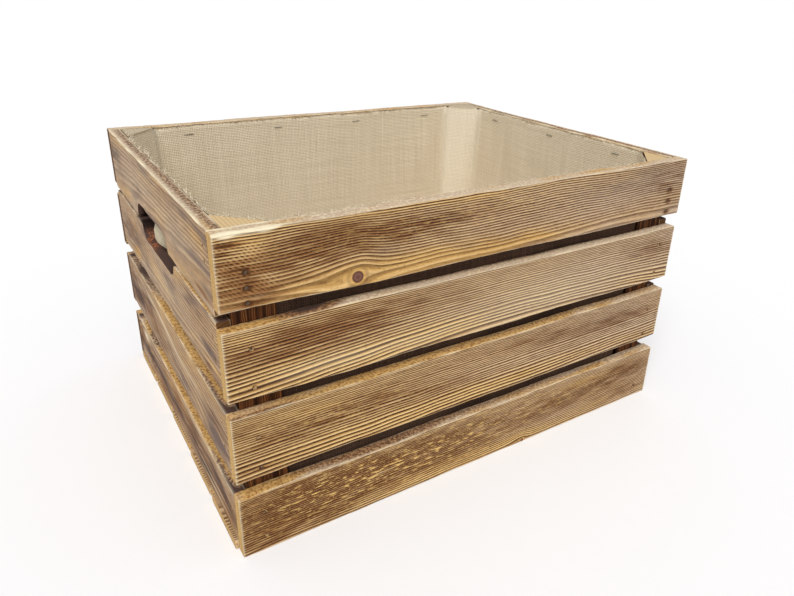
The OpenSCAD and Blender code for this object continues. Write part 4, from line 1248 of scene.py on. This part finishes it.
class KINDLING_OT_burlap_liner(bpy.types.Operator):
    """Builds the burlap liner as one hung cloth, with its frayed upper edge"""

    bl_idname = "kindling.burlap_liner"
    bl_label = "Burlap liner"

    def execute(self, context):
        cloth = context.scene.kindling_cloth
        grid, hanging, inward, edge, told = hung_cloth(cloth.mesh_step / MM)
        n, m, _ = grid.shape
        every = np.concatenate([grid.reshape(-1, 3), [[0, 0, FLOOR_TOP + CLOTH_LIFT + 0.6]]])
        index = np.arange(n * m).reshape(n, m)
        quads = round_quads(index)
        fan = np.stack([index[:, -1], np.full(n, n * m), np.roll(index[:, -1], -1)], -1)
        faces = quads.tolist() + fan.tolist()
        # Weave coordinates: distance round and down on the walls, x and y on the floor.
        pitch = cloth.weave_pitch / MM
        whole = round(told[-1] / pitch) * pitch / told[-1]
        steps = np.linalg.norm(np.diff(grid[0], axis=0), axis=1)
        down = np.concatenate([[0], np.cumsum(steps)])
        i, j = np.meshgrid(np.arange(n), np.arange(m - 1), indexing="ij")
        corner_i = np.stack([i, i, i + 1, i + 1], -1).reshape(-1, 4)
        corner_j = np.stack([j, j + 1, j + 1, j], -1).reshape(-1, 4)
        on_wall = (j < hanging - 1).reshape(-1)[:, None, None]
        uv_wall = np.stack([told[corner_i] * whole, down[corner_j]], -1)
        uvs = np.where(on_wall, uv_wall, every[quads][..., :2]).reshape(-1, 2)
        uvs = np.concatenate([uvs, every[fan][..., :2].reshape(-1, 2)]) * MM
        # Painted light: the burlap that bulges into the left hand slot is lightened towards the jute_lit
        # colour.
        lit = np.exp(-(((16 - every[:, 1]) / 21) ** 4) - ((every[:, 2] - HAND_SLOT_Z + 4) / 14) ** 4)
        lit = lit * (every[:, 0] < -0.9 * INNER_X)
        # Painted light: near the four corners, below the upper edge, the cloth is lightened where the walls
        # shade it.
        corner = np.abs(every[:, 0]) - INNER_X + np.abs(every[:, 1]) - INNER_Y
        fresh_end_and_painted_light = ease(corner, -42, -33) * (every[:, 2] < LINER_TOP - 1)
        # Painted shade: the flap over the tops of the rear posts is darkened.
        flap_painted_shade = 1.0 * (every[:, 2] > LINER_TOP + 0.8)
        made = write_mesh("burlap_liner", every, faces,
                          {"lit": np.stack([lit, fresh_end_and_painted_light, flap_painted_shade], -1)}, uvs, "weave", 80)
        thick = made.modifiers.new("thickness", "SOLIDIFY")
        thick.thickness, thick.offset, thick.material_offset = cloth.thickness, 0.0, 1
        ink = inks("kindling_cloth")
        # Painted shade: the outer side of the cloth, seen through the gaps between the boards and from
        # below, gets the dark shade colours; the inner side gets the jute colours.
        painted_shade_cloth = burlap_cloth("burlap_outside", ink.shade_light, ink.shade_dark, ink.shade_light,
                              ink.shade_gap)
        clean = burlap_cloth("burlap", ink.jute_light, ink.jute_dark, ink.jute_pale, ink.jute_gap)
        made.data.materials.append(painted_shade_cloth)
        made.data.materials.append(clean)
        dress(made, [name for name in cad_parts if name.startswith("liner_")
                     and name != "liner_staples"], clean)
        fringe = self.frayed_edge(context, grid[:, 0, :2], inward, edge, told, clean)
        hangs = LINER_TOP - FLOOR_TOP
        flat = (2 * (INNER_X + hangs) * MM, 2 * (INNER_Y + hangs) * MM)
        floor_area = 4 * INNER_X * INNER_Y - 2 * POST_LEG**2
        (told[-1] * hangs + floor_area) * MM**2
        return {"FINISHED"}

    def frayed_edge(self, context, rim, inward, edge, told, surface):
        """Threads that stand out of the upper edge: each is a three-sided tube along the curve
        root + t*up + t^2*lean, thinner towards its tip."""
        cloth = context.scene.kindling_cloth
        rng = np.random.default_rng(5)
        count = cloth.fringe_count
        at = rng.integers(0, len(rim), count)
        lean = rng.normal(0, 1, (count, 2))
        size = cloth.fringe_length / MM * rng.uniform(0.2, 1.0, count) ** 1.8
        ahead = np.stack([inward[at][:, 1], -inward[at][:, 0]], 1)
        root = rim[at] + rng.uniform(-0.3, 0.3, count)[:, None] * inward[at]
        root = root + rng.uniform(-2, 2, count)[:, None] * ahead
        t = np.linspace(0, 1, THREAD_RINGS)[None, :, None]
        side = size[:, None] * (0.6 * lean[:, :1] * ahead + 0.35 * np.abs(lean[:, 1:]) * inward[at])
        flat = root[:, None, :] + side[:, None, :] * t**1.5
        up = edge[at][:, None] - 1.5 + (0.75 * size)[:, None] * t[..., 0] * (1.25 - 0.6 * t[..., 0])
        line = np.concatenate([flat, up[..., None]], -1)
        radius = THREAD_RADIUS * (1 - 0.6 * t)
        around = np.arange(3) * 2 * np.pi / 3
        ring = np.stack([np.cos(around), np.sin(around), 0 * around], -1)
        tube = line[:, :, None, :] + radius[..., None] * ring[None, None]
        every = tube.reshape(-1, 3)
        index = np.arange(len(every)).reshape(count, THREAD_RINGS, 3)
        nxt = np.roll(index, -1, axis=2)
        quads = np.stack([index[:, :-1], nxt[:, :-1], nxt[:, 1:], index[:, 1:]], -1).reshape(-1, 4)
        caps = np.concatenate([index[:, 0, ::-1], index[:, -1]])
        faces = quads.tolist() + caps.tolist()
        uvs = np.stack([told[at][:, None, None] + 0 * tube[..., 0], tube[..., 2]], -1)
        made = write_mesh("burlap_fray", every, faces, {}, uvs.reshape(-1, 2) * MM, "weave", 80)
        made.data.materials.append(surface)
        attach(made, "root")
        return made


# ---- fastenings and studio


class KINDLING_OT_fastenings(bpy.types.Operator):
    """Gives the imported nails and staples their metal"""

    bl_idname = "kindling.fastenings"
    bl_label = "Nails and staples"

    def execute(self, context):
        nail = metal("nail_steel", (0.24, 0.15, 0.07), (0.66, 0.52, 0.33), 0.6, 0.0, 0.215)
        staple = metal("staple_steel", (0.62, 0.61, 0.58), (0.80, 0.79, 0.76), 0.3, 0.85)
        for name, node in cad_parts.items():
            surface = staple if name == "liner_staples" else nail if name.endswith("_nails") else None
            if surface:
                node.data.materials.clear()
                node.data.materials.append(surface)
        return {"FINISHED"}


class KINDLING_OT_studio(bpy.types.Operator):
    """Builds the pale floor, the soft light and the camera"""

    bl_idname = "kindling.studio"
    bl_label = "Studio"

    def execute(self, context):
        studio = context.scene.kindling_studio
        made, start = new_material("studio_floor")
        finish_material(start, linear(studio.floor_tone), 0.9, specular=0.0, glow=studio.floor_glow)
        mesh = bpy.data.meshes.new("studio_floor")
        mesh.from_pydata([(x * STUDIO_REACH, y * STUDIO_REACH, -STUDIO_DROP)
                          for x, y in ((-1, -1), (1, -1), (1, 1), (-1, 1))], [], [(0, 1, 2, 3)])
        mesh.materials.append(made)
        floor = bpy.data.objects.new("studio_floor", mesh)
        context.scene.collection.objects.link(floor)

        world = bpy.data.worlds.new("studio_room")
        context.scene.world = world
        world.use_nodes = True
        world.node_tree.nodes.clear()
        room = Socket(world.node_tree)
        light_path = room.node("ShaderNodeLightPath")
        even = room.node("ShaderNodeBackground", {}, {"Color": (1, 1, 1, 1), "Strength": studio.sky})
        white = room.node("ShaderNodeBackground", {}, {"Color": (1, 1, 1, 1), "Strength": 1.0})
        both = room.node("ShaderNodeMixShader", {}, {0: light_path, 1: even, 2: white})
        output = world.node_tree.nodes.new("ShaderNodeOutputWorld")
        world.node_tree.links.new(both.socket, output.inputs["Surface"])

        lamp = bpy.data.lights.new("main_lamp", "SUN")
        lamp.energy, lamp.angle = studio.key, studio.key_spread
        lamp_at = bpy.data.objects.new("main_lamp", lamp)
        lamp_at.rotation_euler = Vector(LAMP_FROM).to_track_quat("Z", "Y").to_euler()
        context.scene.collection.objects.link(lamp_at)

        self.set_camera(context)
        return {"FINISHED"}

    def set_camera(self, context):
        """The photograph's camera, fitted to the box's corners: it turns about the vertical by
        the azimuth, down by the elevation and about its own line of sight by the roll."""
        azimuth, elevation, roll = (math.radians(x) for x in CAMERA_TURN)
        back = Vector((math.sin(azimuth) * math.cos(elevation),
                       -math.cos(azimuth) * math.cos(elevation), math.sin(elevation)))
        level = (-back).cross(Vector((0, 0, 1))).normalized()
        up = level.cross(-back)
        right = math.cos(roll) * level + math.sin(roll) * up
        top = -math.sin(roll) * level + math.cos(roll) * up
        data = bpy.data.cameras.new("photo_camera")
        data.sensor_width = 36.0
        data.lens = PHOTO_FOCAL * data.sensor_width / PHOTO_WIDE
        data.shift_x = -(PHOTO_MIDDLE[0] - PHOTO_WIDE / 2) / PHOTO_WIDE
        data.shift_y = (PHOTO_MIDDLE[1] - PHOTO_HIGH / 2) / PHOTO_WIDE
        data.clip_end = 200.0
        camera = bpy.data.objects.new("photo_camera", data)
        turn = Matrix((right, top, back)).transposed().to_4x4()
        turn.translation = Vector(CAMERA_AT)
        camera.matrix_world = turn
        context.scene.collection.objects.link(camera)
        context.scene.camera = camera
        context.scene.view_settings.view_transform = "Standard"


ORDER = ("studio", "long_slats", "end_boards", "floor_boards", "corner_posts", "burlap_liner",
         "fastenings")


class KINDLING_PT_panel(bpy.types.Panel):
    """Lists the kindling box's pieces and its sizes and colours"""

    bl_idname = "KINDLING_PT_panel"
    bl_label = "Kindling box"
    bl_space_type = "VIEW_3D"
    bl_region_type = "UI"
    bl_category = "Kindling box"

    def draw(self, context):
        for name in ORDER:
            self.layout.operator("kindling." + name)
        for group in (context.scene.kindling_wood, context.scene.kindling_cloth,
                      context.scene.kindling_studio):
            box = self.layout.box()
            for key in group.bl_rna.properties.keys():
                if key not in ("rna_type", "name"):
                    box.prop(group, key)


CLASSES = (KINDLING_PG_wood, KINDLING_PG_cloth, KINDLING_PG_studio, KINDLING_OT_studio,
           KINDLING_OT_long_slats, KINDLING_OT_end_boards, KINDLING_OT_floor_boards,
           KINDLING_OT_corner_posts, KINDLING_OT_burlap_liner, KINDLING_OT_fastenings,
           KINDLING_PT_panel)


def register():
    for each in CLASSES:
        bpy.utils.register_class(each)
    bpy.types.Scene.kindling_wood = PointerProperty(type=KINDLING_PG_wood)
    bpy.types.Scene.kindling_cloth = PointerProperty(type=KINDLING_PG_cloth)
    bpy.types.Scene.kindling_studio = PointerProperty(type=KINDLING_PG_studio)


def unregister():
    for name in ("kindling_wood", "kindling_cloth", "kindling_studio"):
        delattr(bpy.types.Scene, name)
    for each in reversed(CLASSES):
        bpy.utils.unregister_class(each)


def main():
    register()
    for name in ORDER:
        getattr(bpy.ops.kindling, name)()


if __name__ == "__main__":
    main()
